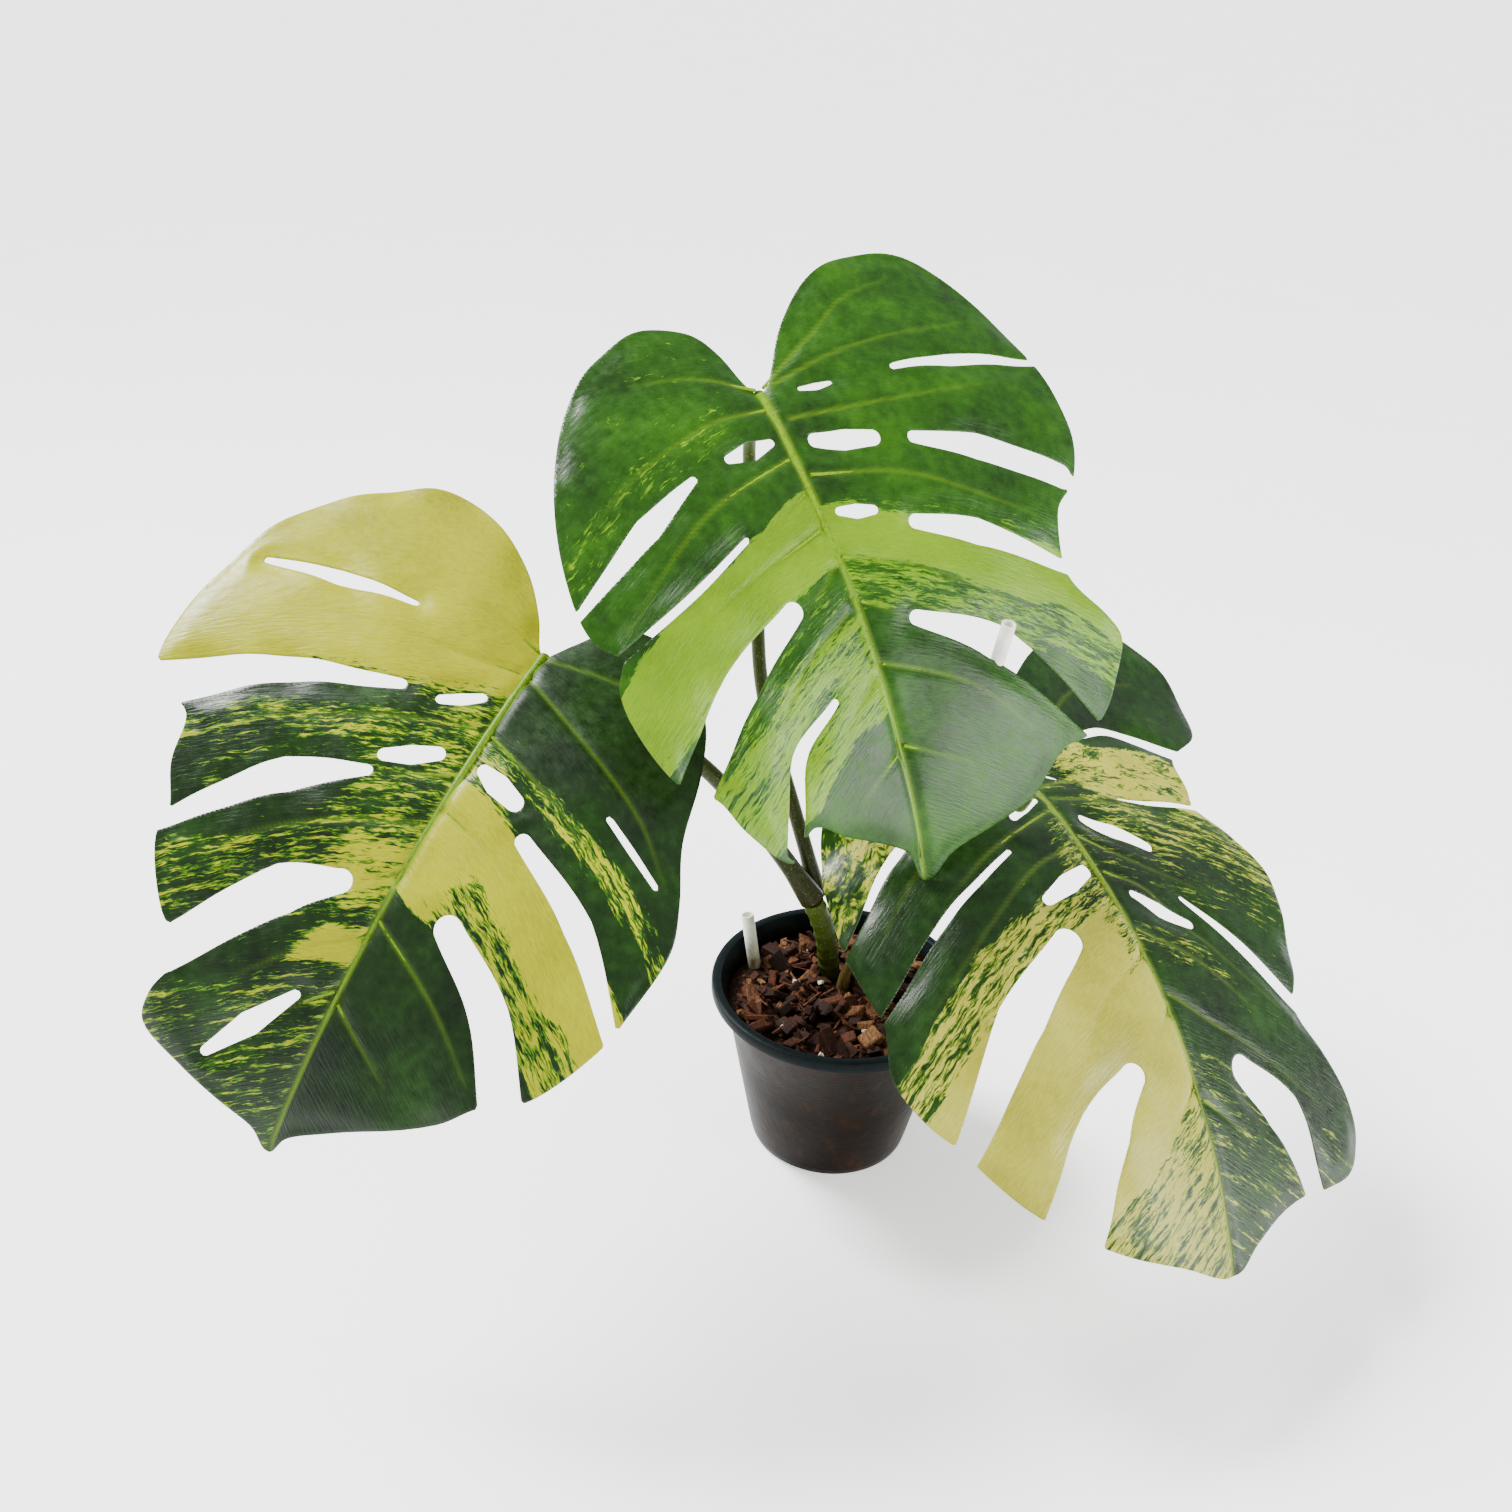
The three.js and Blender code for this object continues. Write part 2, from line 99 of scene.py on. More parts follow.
def blend_colour(tree, factor, first, second):
    return node(tree, "Mix", {0: factor, 6: first, 7: second}, data_type="RGBA").outputs[2]


def product(tree, first, second):
    return node(tree, "Math", {0: first, 1: second}, operation="MULTIPLY").outputs[0]


def spread(tree, value, low, high, start=0.0, end=1.0):
    return node(tree, "MapRange", {"Value": value, 1: low, 2: high, 3: start, 4: end}).outputs[0]


def stretched(tree, place, scale):
    return node(tree, "Mapping", {"Vector": place, "Scale": scale}).outputs[0]


def ramp(tree, factor, stops):
    made = node(tree, "ValToRGB", {"Fac": factor})
    elements = made.color_ramp.elements
    while len(elements) < len(stops):
        elements.new(0.5)
    for element, (place, colour) in zip(elements, stops):
        element.position = place
        element.color = tone(colour)
    return made.outputs["Color"]


def grain(tree, place, scale, detail=3, roughness=0.55):
    inputs = {"Vector": place, "Scale": scale, "Detail": detail, "Roughness": roughness}
    return node(tree, "TexNoise", inputs).outputs[0]


def raise_surface(tree, shader, height, distance, strength=1.0):
    bump = node(tree, "Bump", {"Height": height, "Distance": distance, "Strength": strength})
    tree.links.new(bump.outputs[0], shader.inputs["Normal"])


def piece_of(bm, name, finishes, crease=40):
    mesh = bpy.data.meshes.new(name)
    bm.to_mesh(mesh)
    bm.free()
    for finish in finishes:
        mesh.materials.append(finish)
    mesh.shade_smooth()
    mesh.set_sharp_from_angle(angle=math.radians(crease))
    piece = bpy.data.objects.new(name, mesh)
    bpy.context.scene.collection.objects.link(piece)
    return piece


def spun(profile, steps):
    bm = bmesh.new()
    verts = [bm.verts.new((radius, 0, height)) for radius, height in profile]
    edges = [bm.edges.new(pair) for pair in zip(verts, verts[1:])]
    bmesh.ops.spin(bm, geom=verts + edges, axis=(0, 0, 1), cent=(0, 0, 0), angle=FULL_TURN, steps=steps,
                   use_merge=True)
    bmesh.ops.remove_doubles(bm, verts=bm.verts, dist=1e-6)
    bmesh.ops.recalc_face_normals(bm, faces=bm.faces)
    return bm


def baked(piece):
    return bpy.data.meshes.new_from_object(piece.evaluated_get(bpy.context.evaluated_depsgraph_get()))


def wall_at(height):
    return FOOT_RADIUS + (WALL_AT_LIP - FOOT_RADIUS) * height / LIP_FOOT


pot_finish, tree, shader = finish_start("pot_polypropylene", 0.36, 0.05)
place = node(tree, "TexCoord").outputs["Object"]
height = node(tree, "SeparateXYZ", {0: place}).outputs["Z"]
cloud = grain(tree, place, POT_CLOUD_SCALE, 5)
scuffs = spread(tree, grain(tree, stretched(tree, place, POT_SCUFF_SCALE), 1, 4), 0.56, 0.72)
wall_colour = ramp(tree, cloud, [(0.35, "#0a0502"), (0.55, POT_BROWN), (0.75, "#1c0e03")])
lip_colour = ramp(tree, cloud, [(0.3, "#0b1112"), (0.7, POT_SLATE)])
dusty = blend_colour(tree, scuffs, wall_colour, tone(POT_SCUFF))
lip = spread(tree, height, LIP_FOOT - 0.004, LIP_FOOT + 0.001)
tree.links.new(blend_colour(tree, lip, dusty, lip_colour), shader.inputs["Base Color"])
tree.links.new(spread(tree, cloud, 0.0, 1.0, 0.28, 0.52), shader.inputs["Roughness"])
mould_lines = node(tree, "Math", {0: product(tree, height, MOULD_LINE_TURNS)}, operation="SINE").outputs[0]
pebble = grain(tree, place, POT_PEBBLE_SCALE, 3)
raise_surface(tree, shader, sum_of(tree, mould_lines, MOULD_LINE_SHARE, pebble), POT_RELIEF, 0.5)

lip_inner = RIM_RADIUS - 0.006
floor_top = FLOOR + 0.0012
pot_profile = [
    (0, 0.0012), (FOOT_RADIUS - 0.007, 0.0012), (FOOT_RADIUS - 0.0055, 0), (FOOT_RADIUS - 0.0015, 0),
    (FOOT_RADIUS, 0.0015), (wall_at(0.006), 0.006), (wall_at(WALL_MIDDLE), WALL_MIDDLE),
    (WALL_AT_LIP - 0.0003, LIP_FOOT - 0.001), (WALL_AT_LIP + 0.0006, LIP_FOOT),
    (RIM_RADIUS - 0.0012, LIP_FOOT), (RIM_RADIUS - 0.0003, LIP_FOOT + 0.0004),
    (RIM_RADIUS, LIP_FOOT + 0.0013), (RIM_RADIUS, POT_HEIGHT - 0.0018),
    (RIM_RADIUS - 0.0005, POT_HEIGHT - 0.0006), (RIM_RADIUS - 0.0016, POT_HEIGHT),
    (lip_inner + 0.0014, POT_HEIGHT), (lip_inner + 0.0004, POT_HEIGHT - 0.0005),
    (lip_inner, POT_HEIGHT - 0.0014), (WALL_AT_LIP - WALL, LIP_FOOT - 0.002),
    (wall_at(WALL_MIDDLE) - WALL, WALL_MIDDLE), (wall_at(FLOOR) - WALL, floor_top), (0, floor_top)]
pot = piece_of(spun(pot_profile, POT_STEPS), "pot_shell", [pot_finish], 35)
drains = bmesh.new()
for i in range(DRAIN_COUNT):
    turn = FULL_TURN * i / DRAIN_COUNT
    spot = Matrix.Translation((DRAIN_CIRCLE * math.cos(turn), DRAIN_CIRCLE * math.sin(turn), 0))
    bmesh.ops.create_cone(drains, cap_ends=True, segments=32, radius1=DRAIN_RADIUS, radius2=DRAIN_RADIUS,
                          depth=4 * FLOOR, matrix=spot)
punch = piece_of(drains, "drain_punch", [pot_finish])
cut = pot.modifiers.new("drains", "BOOLEAN")
cut.operation = "DIFFERENCE"
cut.object = punch
cut.solver = "EXACT"
pot_mesh = baked(pot)
pot.modifiers.clear()
pot.data = pot_mesh
bpy.data.objects.remove(punch)
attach(pot, "root")
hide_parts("pot")

# ---- potting mix ----
# Coarse bark and peat, dark and damp, filled to just under the lip. It is a loose fill, so its top is lumpy
# and it stands against the pot's wall.
MIX_TOP = 0.095
MIX_GAP = 0.0004
LUMP = 0.0024
LUMP_SCALE = 110
FINE_LUMP_SCALE = 260
SETTLE = 0.0006
CRUMB_SCALE = 420
CRUMB_RELIEF = 0.0016
RING_COUNT = 26

mix_finish, tree, shader = finish_start("damp_bark_mix", 0.85)
place = node(tree, "TexCoord").outputs["Object"]
crumbs = grain(tree, place, CRUMB_SCALE, 6, 0.7)
tree.links.new(ramp(tree, crumbs, [(0.35, "#0d0604"), (0.52, "#24120b"), (0.68, "#4a2818")]),
               shader.inputs["Base Color"])
raise_surface(tree, shader, crumbs, CRUMB_RELIEF, 0.9)

mix_low = FLOOR + 0.0016
mix_wide = WALL_AT_LIP - WALL - 0.0012
mix_profile = [(0, mix_low), (wall_at(FLOOR) - WALL - MIX_GAP, mix_low)]
mix_profile += [(mix_wide * (1 - i / RING_COUNT), MIX_TOP) for i in range(RING_COUNT + 1)]
bm = spun(mix_profile, 120)
for vert in bm.verts:
    if vert.co.z > MIX_TOP - 0.001:
        lump = noise.noise(vert.co * LUMP_SCALE) + 0.6 * noise.noise(vert.co * FINE_LUMP_SCALE)
        vert.co.z += LUMP * lump - SETTLE
mix = piece_of(bm, "mix_fill", [mix_finish], 60)
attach(mix, "root")
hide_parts("potting_mix")

# ---- husk chips ----
# Hundreds of chopped coconut-husk and bark chips, 5 to 20 mm long, lying loose over the mix at every angle,
# with shreds of fibre and a few white grains between them. Each chip has its own shade of brown.
CHIP_COUNT = 330
SHRED_COUNT = 70
GRAIN_COUNT = 9
FILL_RADIUS = 0.0585
FIBRE_SCALE = (900, 260, 600)
MOTTLE_SCALE = 160
FIBRE_RELIEF = 0.0007
CHIP_BEVEL = 0.16
STEM_SPOTS = [(-0.005, 0.022, 0.0085), (0.003, 0.011, 0.006), (-0.05, 0.028, 0.006), (0.038, 0.026, 0.006)]

husk_finish, tree, shader = finish_start("husk_fibre", 0.72)
place = node(tree, "TexCoord").outputs["Object"]
shade = node(tree, "Attribute", attribute_name="shade").outputs["Fac"]
fibres = grain(tree, stretched(tree, place, FIBRE_SCALE), 1, 5, 0.7)
mottle = grain(tree, place, MOTTLE_SCALE, 3)
body = ramp(tree, shade, [(0.0, "#1e0d07"), (0.3, "#35180d"), (0.55, "#4f2817"), (0.78, "#693f26"),
                          (0.92, "#856039"), (0.97, "#e9e2d2")])
dark = blend_colour(tree, spread(tree, fibres, 0.4, 0.62, 0.75, 0.0), body, tone("#1b0c07"))
pale = blend_colour(tree, spread(tree, mottle, 0.6, 0.8, 0.0, 0.5), dark, tone("#74502f"))
tree.links.new(pale, shader.inputs["Base Color"])
raise_surface(tree, shader, fibres, FIBRE_RELIEF, 0.9)

dice = random.Random(7)
bm = bmesh.new()
shade_layer = bm.verts.layers.float.new("shade")


def clear_of_stems(x, y, margin):
    return all(math.hypot(x - a, y - b) > reach + margin for a, b, reach in STEM_SPOTS)


def drop_shape(size, jitter, level, tilt, shade):
    radius = FILL_RADIUS * math.sqrt(dice.random())
    turn = dice.uniform(0, FULL_TURN)
    x, y = radius * math.cos(turn), radius * math.sin(turn)
    if not clear_of_stems(x, y, 0.35 * size[0]):
        return
    lie = Euler((dice.uniform(-tilt, tilt), dice.uniform(-tilt, tilt), dice.uniform(0, math.pi)))
    made = bmesh.ops.create_cube(bm, size=1)["verts"]
    for vert in made:
        vert.co = Vector([c * s * (1 + dice.uniform(-jitter, jitter)) for c, s in zip(vert.co, size)])
    edges = list(dict.fromkeys(edge for vert in made for edge in vert.link_edges))
    worn = bmesh.ops.bevel(bm, geom=edges, offset=CHIP_BEVEL * min(size), offset_type="OFFSET", segments=1,
                           profile=0.5, affect="EDGES", material=-1)
    verts = list(dict.fromkeys(vert for face in worn["faces"] for vert in face.verts))
    place = Matrix.LocRotScale(Vector((x, y, MIX_TOP + level)), lie, Vector((1, 1, 1)))
    bmesh.ops.transform(bm, matrix=place, verts=verts)
    for vert in verts:
        vert[shade_layer] = shade


for i in range(CHIP_COUNT):
    length = 0.005 + 0.011 * dice.random() ** 1.4
    size = (length, length * dice.uniform(0.35, 0.75), length * dice.uniform(0.15, 0.4))
    drop_shape(size, 0.3, dice.uniform(0.0004, 0.0062), 0.75, dice.random() ** 1.3 * 0.92)
for i in range(SHRED_COUNT):
    size = (dice.uniform(0.008, 0.02), dice.uniform(0.0006, 0.0014), 0.0006)
    drop_shape(size, 0.4, dice.uniform(0.003, 0.0075), 0.35, dice.uniform(0.4, 0.9))
for i in range(GRAIN_COUNT):
    drop_shape((0.003, 0.0024, 0.0022), 0.4, dice.uniform(0.004, 0.007), 1.0, 1.0)
bmesh.ops.recalc_face_normals(bm, faces=bm.faces)
husk = piece_of(bm, "husk_chips", [husk_finish], 30)
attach(husk, "root")
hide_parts(*[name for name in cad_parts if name.startswith("husk_chip_")])

# ---- main stem and old sheath ----
# The short climbing stem, olive and woody at the soil, with the ringed scars of shed leaves, and the dry
# stump of an old leaf base beside it. Both grow out of the mix.
STEM_ROUTE = [(-5, 22, 55), (-5, 22, 95), (-7, 21, 112), (-10.5, 20, 130), (-18, 19, 150)]
STEM_RADIUS = 6.6
SHEATH_ROUTE = [(3, 11, 83), (3, 11, 99), (5, 9, 112), (9, 6, 124)]
SHEATH_RADIUS = 4.2
MM = 0.001
STREAK_SCALE = (700, 700, 90)
SPECK_SCALE = 900
STREAK_RELIEF = 0.0004
SCAR_HEIGHT = 0.7
SCAR_COUNT = 9
SCAR_SPREAD = 0.02


def curve_through(points, steps, closed=False):
    knots = [np.array(point, float) for point in points]
    if closed:
        knots = [knots[-1], *knots, knots[0], knots[1]]
    else:
        knots = [2 * knots[0] - knots[1], *knots, 2 * knots[-1] - knots[-2]]
    places = []
    for p0, p1, p2, p3 in zip(knots, knots[1:], knots[2:], knots[3:]):
        t1 = np.linalg.norm(p1 - p0) ** 0.5
        t2 = t1 + np.linalg.norm(p2 - p1) ** 0.5
        t3 = t2 + np.linalg.norm(p3 - p2) ** 0.5
        for t in np.linspace(t1, t2, steps, endpoint=False):
            a1 = ((t1 - t) * p0 + t * p1) / t1
            a2 = ((t2 - t) * p1 + (t - t1) * p2) / (t2 - t1)
            a3 = ((t3 - t) * p2 + (t - t2) * p3) / (t3 - t2)
            b1 = ((t2 - t) * a1 + t * a2) / t2
            b2 = ((t3 - t) * a2 + (t - t1) * a3) / (t3 - t1)
            places.append(((t2 - t) * b1 + (t - t1) * b2) / (t2 - t1))
    if not closed:
        places.append(knots[-2])
    return np.array(places)


def tubes_of(name, runs, finishes, sides=7):
    line = bpy.data.curves.new(name, "CURVE")
    line.dimensions = "3D"
    line.bevel_depth = 1
    line.bevel_resolution = sides
    line.use_fill_caps = True
    for route, radii in runs:
        spline = line.splines.new("POLY")
        spline.points.add(len(route) - 1)
        for point, spot, radius in zip(spline.points, route, radii):
            point.co = (*(spot * MM), 1)
            point.radius = radius * MM
    holder = bpy.data.objects.new(name, line)
    bpy.context.scene.collection.objects.link(holder)
    mesh = baked(holder)
    bpy.data.objects.remove(holder)
    bm = bmesh.new()
    bm.from_mesh(mesh)
    bmesh.ops.remove_doubles(bm, verts=bm.verts, dist=1e-7)
    bmesh.ops.recalc_face_normals(bm, faces=bm.faces)
    along = bm.verts.layers.float.new("along")
    stations = np.concatenate([route for route, _ in runs])
    shares = np.concatenate([np.linspace(0, 1, len(route)) for route, _ in runs])
    for vert in bm.verts:
        gaps = np.linalg.norm(stations - np.array(vert.co) / MM, axis=1)
        vert[along] = shares[int(gaps.argmin())]
    return piece_of(bm, name, finishes, 60)


def stalk_finish(name, foot, middle, tip, roughness=0.4):
    finish, tree, shader = finish_start(name, roughness)
    place = node(tree, "TexCoord").outputs["Object"]
    share = node(tree, "Attribute", attribute_name="along").outputs["Fac"]
    streaks = grain(tree, stretched(tree, place, STREAK_SCALE), 1, 4)
    specks = grain(tree, place, SPECK_SCALE, 2)
    skin = ramp(tree, share, [(0.0, foot), (0.5, middle), (1.0, tip)])
    lined = blend_colour(tree, spread(tree, streaks, 0.45, 0.7, 0.0, 0.5), skin, tone("#20260a"))
    speckled = blend_colour(tree, spread(tree, specks, 0.62, 0.72, 0.0, 0.45), lined, tone("#8c9a4a"))
    tree.links.new(speckled, shader.inputs["Base Color"])
    raise_surface(tree, shader, streaks, STREAK_RELIEF, 0.6)
    return finish


stem_finish = stalk_finish("olive_stem", "#2a1e0a", "#333c0e", "#40500e", 0.5)
route = curve_through(STEM_ROUTE, 16)
share = np.linspace(0, 1, len(route))
rings = SCAR_HEIGHT * np.exp(-((share * SCAR_COUNT) % 1 - 0.5) ** 2 / SCAR_SPREAD)
stem = tubes_of("stem_body", [(route, STEM_RADIUS - 0.5 + rings)], [stem_finish])
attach(stem, "root")
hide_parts("main_stem")

sheath_finish = stalk_finish("dry_sheath", "#4a3a1c", "#6d5a30", "#8a7444", 0.7)
route = curve_through(SHEATH_ROUTE, 14)
share = np.linspace(0, 1, len(route))
sheath = tubes_of("sheath_stump", [(route, SHEATH_RADIUS * (1 - 0.55 * share ** 1.5))], [sheath_finish])
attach(sheath, "root")
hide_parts("base_sheath")

# ---- stakes ----
# Two white plastic tubes pushed into the mix, open at the top and a little dirty near the soil. They lean,
# and the long one stands up behind the leaves.
STAKES = {"stake_left": ((-50, 28, 95), (-56, 31, 130), 26),
          "stake_right": ((38, 26, 95), (68.5, -10.5, 346.5), 45)}
STAKE_RADIUS = 3.8
STAKE_BORE = 2.9
STAKE_EDGE = 0.25
SMUDGE_SCALE = 130
SMUDGE_REACH = -0.05
SOIL_LOW = 0.068
SOIL_HIGH = 0.088

stake_finish, tree, shader = finish_start("white_tube", 0.36)
place = node(tree, "TexCoord").outputs["Object"]
height = node(tree, "SeparateXYZ", {0: place}).outputs["Z"]
smudge = grain(tree, place, SMUDGE_SCALE, 4)
soil = spread(tree, sum_of(tree, smudge, SMUDGE_REACH, height), SOIL_LOW, SOIL_HIGH, 1.0, 0.0)
clean = ramp(tree, smudge, [(0.35, "#d9d6c8"), (0.6, "#efede4")])
tree.links.new(blend_colour(tree, soil, clean, tone("#7a6a50")), shader.inputs["Base Color"])
raise_surface(tree, shader, grain(tree, place, 800, 2), 0.0002, 0.3)

for name, (foot, top, depth) in STAKES.items():
    direction = (Vector(top) - Vector(foot)).normalized()
    start = Vector(foot) - direction * depth
    length = (Vector(top) - start).length
    outer, bore, edge = STAKE_RADIUS, STAKE_BORE, STAKE_EDGE
    wall = [(bore, edge), (bore + edge, 0), (outer - edge, 0), (outer, edge), (outer, length - edge),
            (outer - edge, length), (bore + edge, length), (bore, length - edge), (bore, edge)]
    bm = spun([(radius * MM, level * MM) for radius, level in wall], 40)
    stand = Matrix.Translation(start * MM) @ direction.to_track_quat("Z", "Y").to_matrix().to_4x4()
    bmesh.ops.transform(bm, matrix=stand, verts=bm.verts)
    tube = piece_of(bm, name + "_tube", [stake_finish], 50)
    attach(tube, "root")
    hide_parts(name)

# ---- left leaf, and how a blade grows ----
# A fenestrated monstera blade, leathery and waxed, split by a sport's yellow sectors. Side veins leave a
# thick lime midrib and sweep forward, and yellow and green cells follow them in streaks. All three blades
# grow the same way.
CELL = 1.6
BLADE_THICKNESS = 0.7
RIM_MERGE = 0.6
RIM_PROBE = 0.3
DROOP_HALF_WIDTH = 150
BACK_BLEND = 60
MARGIN_STEPS = 6
CUT_STEPS = 8
VEIN_WIDTH = 1.05
VEIN_TROUGH = 3.4
VEIN_SINK = 1.3
MIDRIB_WIDTH = 1.7
GROOVE_WIDTH = 3.2
GROOVE_DEPTH = 1.5
RIDGE_HEIGHT = 0.9
QUILT = 0.5
RIPPLE = 1.6
EDGE_ROLL = 1.2
EDGE_WIDTH = 7
SWEEP = 0.12
CURL = 0.002
FAN = 0.6
SECTOR_BLUR = 3.5
SECTOR_END_BLUR = 10
MAP_SCALE = 0.01
OTHER_HALF = 400

LEAF_LEFT = {
    "at": (-166, -20, 320), "heading": 247.3, "pitch": -17.4, "bend": 55.3, "backBend": -10, "roll": -18.2,
    "length": 287, "fold": 6, "droop": (12, 12), "backDroop": (12, 12), "yellow": 0.2,
    "margin": [(0, 0), (-20, -14), (-45, -36), (-62, -64), (-68, -94), (-52, -120), (-14, -152),
               (40, -164), (88, -164), (108, -154), (116, -132), (140, -125), (160, -114), (174, -114),
               (204, -93), (216, -76), (240, -82), (255, -80), (267, -52), (278, -12), (288, 0), (276, 6),
               (260, 27), (232, 70), (216, 84), (205, 101), (190, 112), (163, 124), (148, 127), (112, 131),
               (90, 124), (62, 111), (25, 102), (-8, 88), (-38, 60), (-36, 26), (-14, 9)],
    "cuts": [([(54, -50), (76, -106), (112, -156)], (6, 15, 26)),
             ([(101, -40), (120, -72), (170, -118)], (6, 18, 7)),
             ([(153, -24), (168, -46), (220, -84)], (12, 24, 20)),
             ([(210, -18), (232, -32), (254, -46)], (5, 12, 5)),
             ([(9, -70), (15, -111), (23, -148)], (4, 11, 4)),
             ([(51, -29), (46, -21), (40, -13)], (6, 8, 6)),
             ([(90, -37), (84, -26), (77, -15)], (7, 10, 7)), ([(74, 8), (78, 18), (82, 30)], (7, 12, 9)),
             ([(150, 33), (176, 69), (216, 97)], (14, 19, 21)),
             ([(97, 43), (122, 87), (166, 130)], (8, 14, 6)),
             ([(68, 74), (78, 92), (88, 110)], (3, 3.6, 3))],
    "veins": [[(17, -5), (24, -36), (30, -78), (42, -116)], [(-1, -4), (-9, -43), (-13, -85)],
              [(56, -6), (70, -41), (90, -79), (108, -112)],
              [(111, -4), (128, -39), (146, -66), (172, -92)], [(170, 0), (186, -22), (214, -48)],
              [(2, 3), (-2, 48), (4, 86)], [(18, 2), (36, 39), (62, 87), (84, 112)],
              [(56, 2), (68, 33), (76, 51), (104, 98)], [(101, 4), (110, 33), (127, 69), (166, 112)],
              [(161, 1), (185, 45), (210, 76)], [(34, -4), (44, -40), (58, -84)], [(84, -4), (98, -34)],
              [(138, -3), (152, -20)], [(200, -2), (222, -24)], [(205, 2), (228, 40)]],
    "sectors": [(-1, -200, 31, 0, 200, 1.0), (-1, 31, 37, 0, 200, 0.62), (-1, 37, 160, 0, 56, 0.42),
                (-1, 37, 50, 40, 200, 0.18), (-1, 50, 68, 40, 200, 0.4), (-1, 68, 92, 48, 200, 0.3),
                (-1, 92, 112, 48, 200, 0.16), (-1, 112, 150, 48, 200, 0.38), (-1, 165, 184, 0, 24, 1.0),
                (-1, 184, 300, 0, 200, 0.36), (-1, 120, 146, 0, 34, 0.6), (1, -200, 40, 0, 200, 0.0),
                (1, 40, 52, 20, 200, 0.0), (1, 52, 66, 30, 200, 0.45), (1, 66, 83, 20, 200, 0.1),
                (1, 60, 84, 0, 30, 0.45), (1, 84, 112, 0, 200, 1.0), (1, 112, 138, 24, 200, 0.48),
                (1, 112, 146, 0, 24, 0.9), (1, 143, 300, 0, 200, 0.0)],
}


def spine_arc(distance, slope, turn):
    turn = np.where(np.abs(turn) < 1e-7, 1e-7, turn)
    end = slope - turn * distance
    return (np.sin(slope) - np.sin(end)) / turn, (np.cos(end) - np.cos(slope)) / turn, end


def soft(value, low, high):
    t = np.clip((value - low) / (high - low), 0, 1)
    return t * t * (3 - 2 * t)


def bent(leaf, u, v, lift):
    u, v, lift = (np.asarray(a, float) for a in (u, v, lift))
    heading, pitch, roll, fold = (math.radians(leaf[key]) for key in ("heading", "pitch", "roll", "fold"))
    forward = Vector((math.cos(heading), math.sin(heading), 0))
    across = Vector((-math.sin(heading), math.cos(heading), 0))
    up = Vector((0, 0, 1))
    turn = Matrix.Rotation(roll, 3, forward * math.cos(pitch) + up * math.sin(pitch))
    forward, across, up = (np.array(turn @ axis) for axis in (forward, across, up))
    bend = np.radians(np.where(u < 0, leaf["backBend"], leaf["bend"])) / leaf["length"]
    along, rise, slope = spine_arc(u, pitch, bend)
    side = (v > 0).astype(int)
    blend = soft(u, -BACK_BLEND, 0)
    back, front = np.array(leaf["backDroop"])[side], np.array(leaf["droop"])[side]
    droop = np.radians(back + (front - back) * blend) / DROOP_HALF_WIDTH
    out, high, tilt = spine_arc(np.abs(v), fold, droop)
    sideways = np.sign(v)[:, None]
    normal = -forward * np.sin(slope)[:, None] + up * np.cos(slope)[:, None]
    skin = normal * np.cos(tilt)[:, None] - across * sideways * np.sin(tilt)[:, None]
    return (np.array(leaf["at"]) + forward * along[:, None] + up * rise[:, None]
            + across * sideways * out[:, None] + normal * high[:, None] + skin * lift[:, None])


def to_line(points, line):
    nearest = np.full(len(points), np.inf)
    share = np.zeros(len(points))
    for i, (a, b) in enumerate(zip(line, line[1:])):
        leg = b - a
        t = np.clip((points - a) @ leg / (leg @ leg), 0, 1)
        gap = np.linalg.norm(points - a - t[:, None] * leg, axis=1)
        closer = gap < nearest
        nearest = np.where(closer, gap, nearest)
        share = np.where(closer, (i + t) / (len(line) - 1), share)
    return nearest, share


def depth_inside(points, margin, cuts):
    ring = np.vstack([margin, margin[:1]])
    gap, _ = to_line(points, ring)
    inside = np.zeros(len(points), bool)
    for a, b in zip(ring, ring[1:]):
        spans = (a[1] > points[:, 1]) != (b[1] > points[:, 1])
        rise = b[1] - a[1] if b[1] != a[1] else 1e-9
        inside ^= spans & (points[:, 0] < (b[0] - a[0]) * (points[:, 1] - a[1]) / rise + a[0])
    depth = np.where(inside, gap, -gap)
    for path, widths in cuts:
        gap, share = to_line(points, path)
        depth = np.minimum(depth, gap - np.interp(share, (0, 0.5, 1), widths) / 2)
    return depth


def lane_start(u, v):
    return u - SWEEP * np.abs(v) - CURL * v * v


def root_of(leaf, u, v):
    return lane_start(u, v) / (1 + FAN * np.abs(v) / leaf["length"])


def band(value, start, end, blur):
    return soft(value, start - blur, start + blur) * (1 - soft(value, end - blur, end + blur))


# A sector is (side of the midrib, where its first vein starts, where its last one starts, how far out it
# begins, how far out it ends, its share of yellow). The sway makes its edges wander.
def yellow_field(leaf, u, v):
    sway = 2.4 * np.sin(np.abs(v) / 13 + 1.3 * np.sin(u / 31)) + 0.6 * np.sin(np.abs(v) / 4.3 + u / 19)
    root, out = root_of(leaf, u, v) + sway, np.abs(v) + 3 * np.sin(u / 5.3)
    field = np.full(len(u), leaf["yellow"])
    for side, root_from, root_to, out_from, out_to, amount in leaf["sectors"]:
        start = out_from or -2 * SECTOR_END_BLUR
        reach = band(root, root_from, root_to, SECTOR_BLUR) * band(out, start, out_to, SECTOR_END_BLUR)
        field += (amount - field) * reach * (np.sign(v) * side >= 0)
    return field


def blade_lines(leaf):
    margin = curve_through(leaf["margin"], MARGIN_STEPS, closed=True)
    return margin, [(curve_through(path, CUT_STEPS), widths) for path, widths in leaf["cuts"]]


def neighbours(verts, rim):
    return [vert for vert in dict.fromkeys(v for a in verts for edge in a.link_edges for v in edge.verts)
            if vert not in rim]


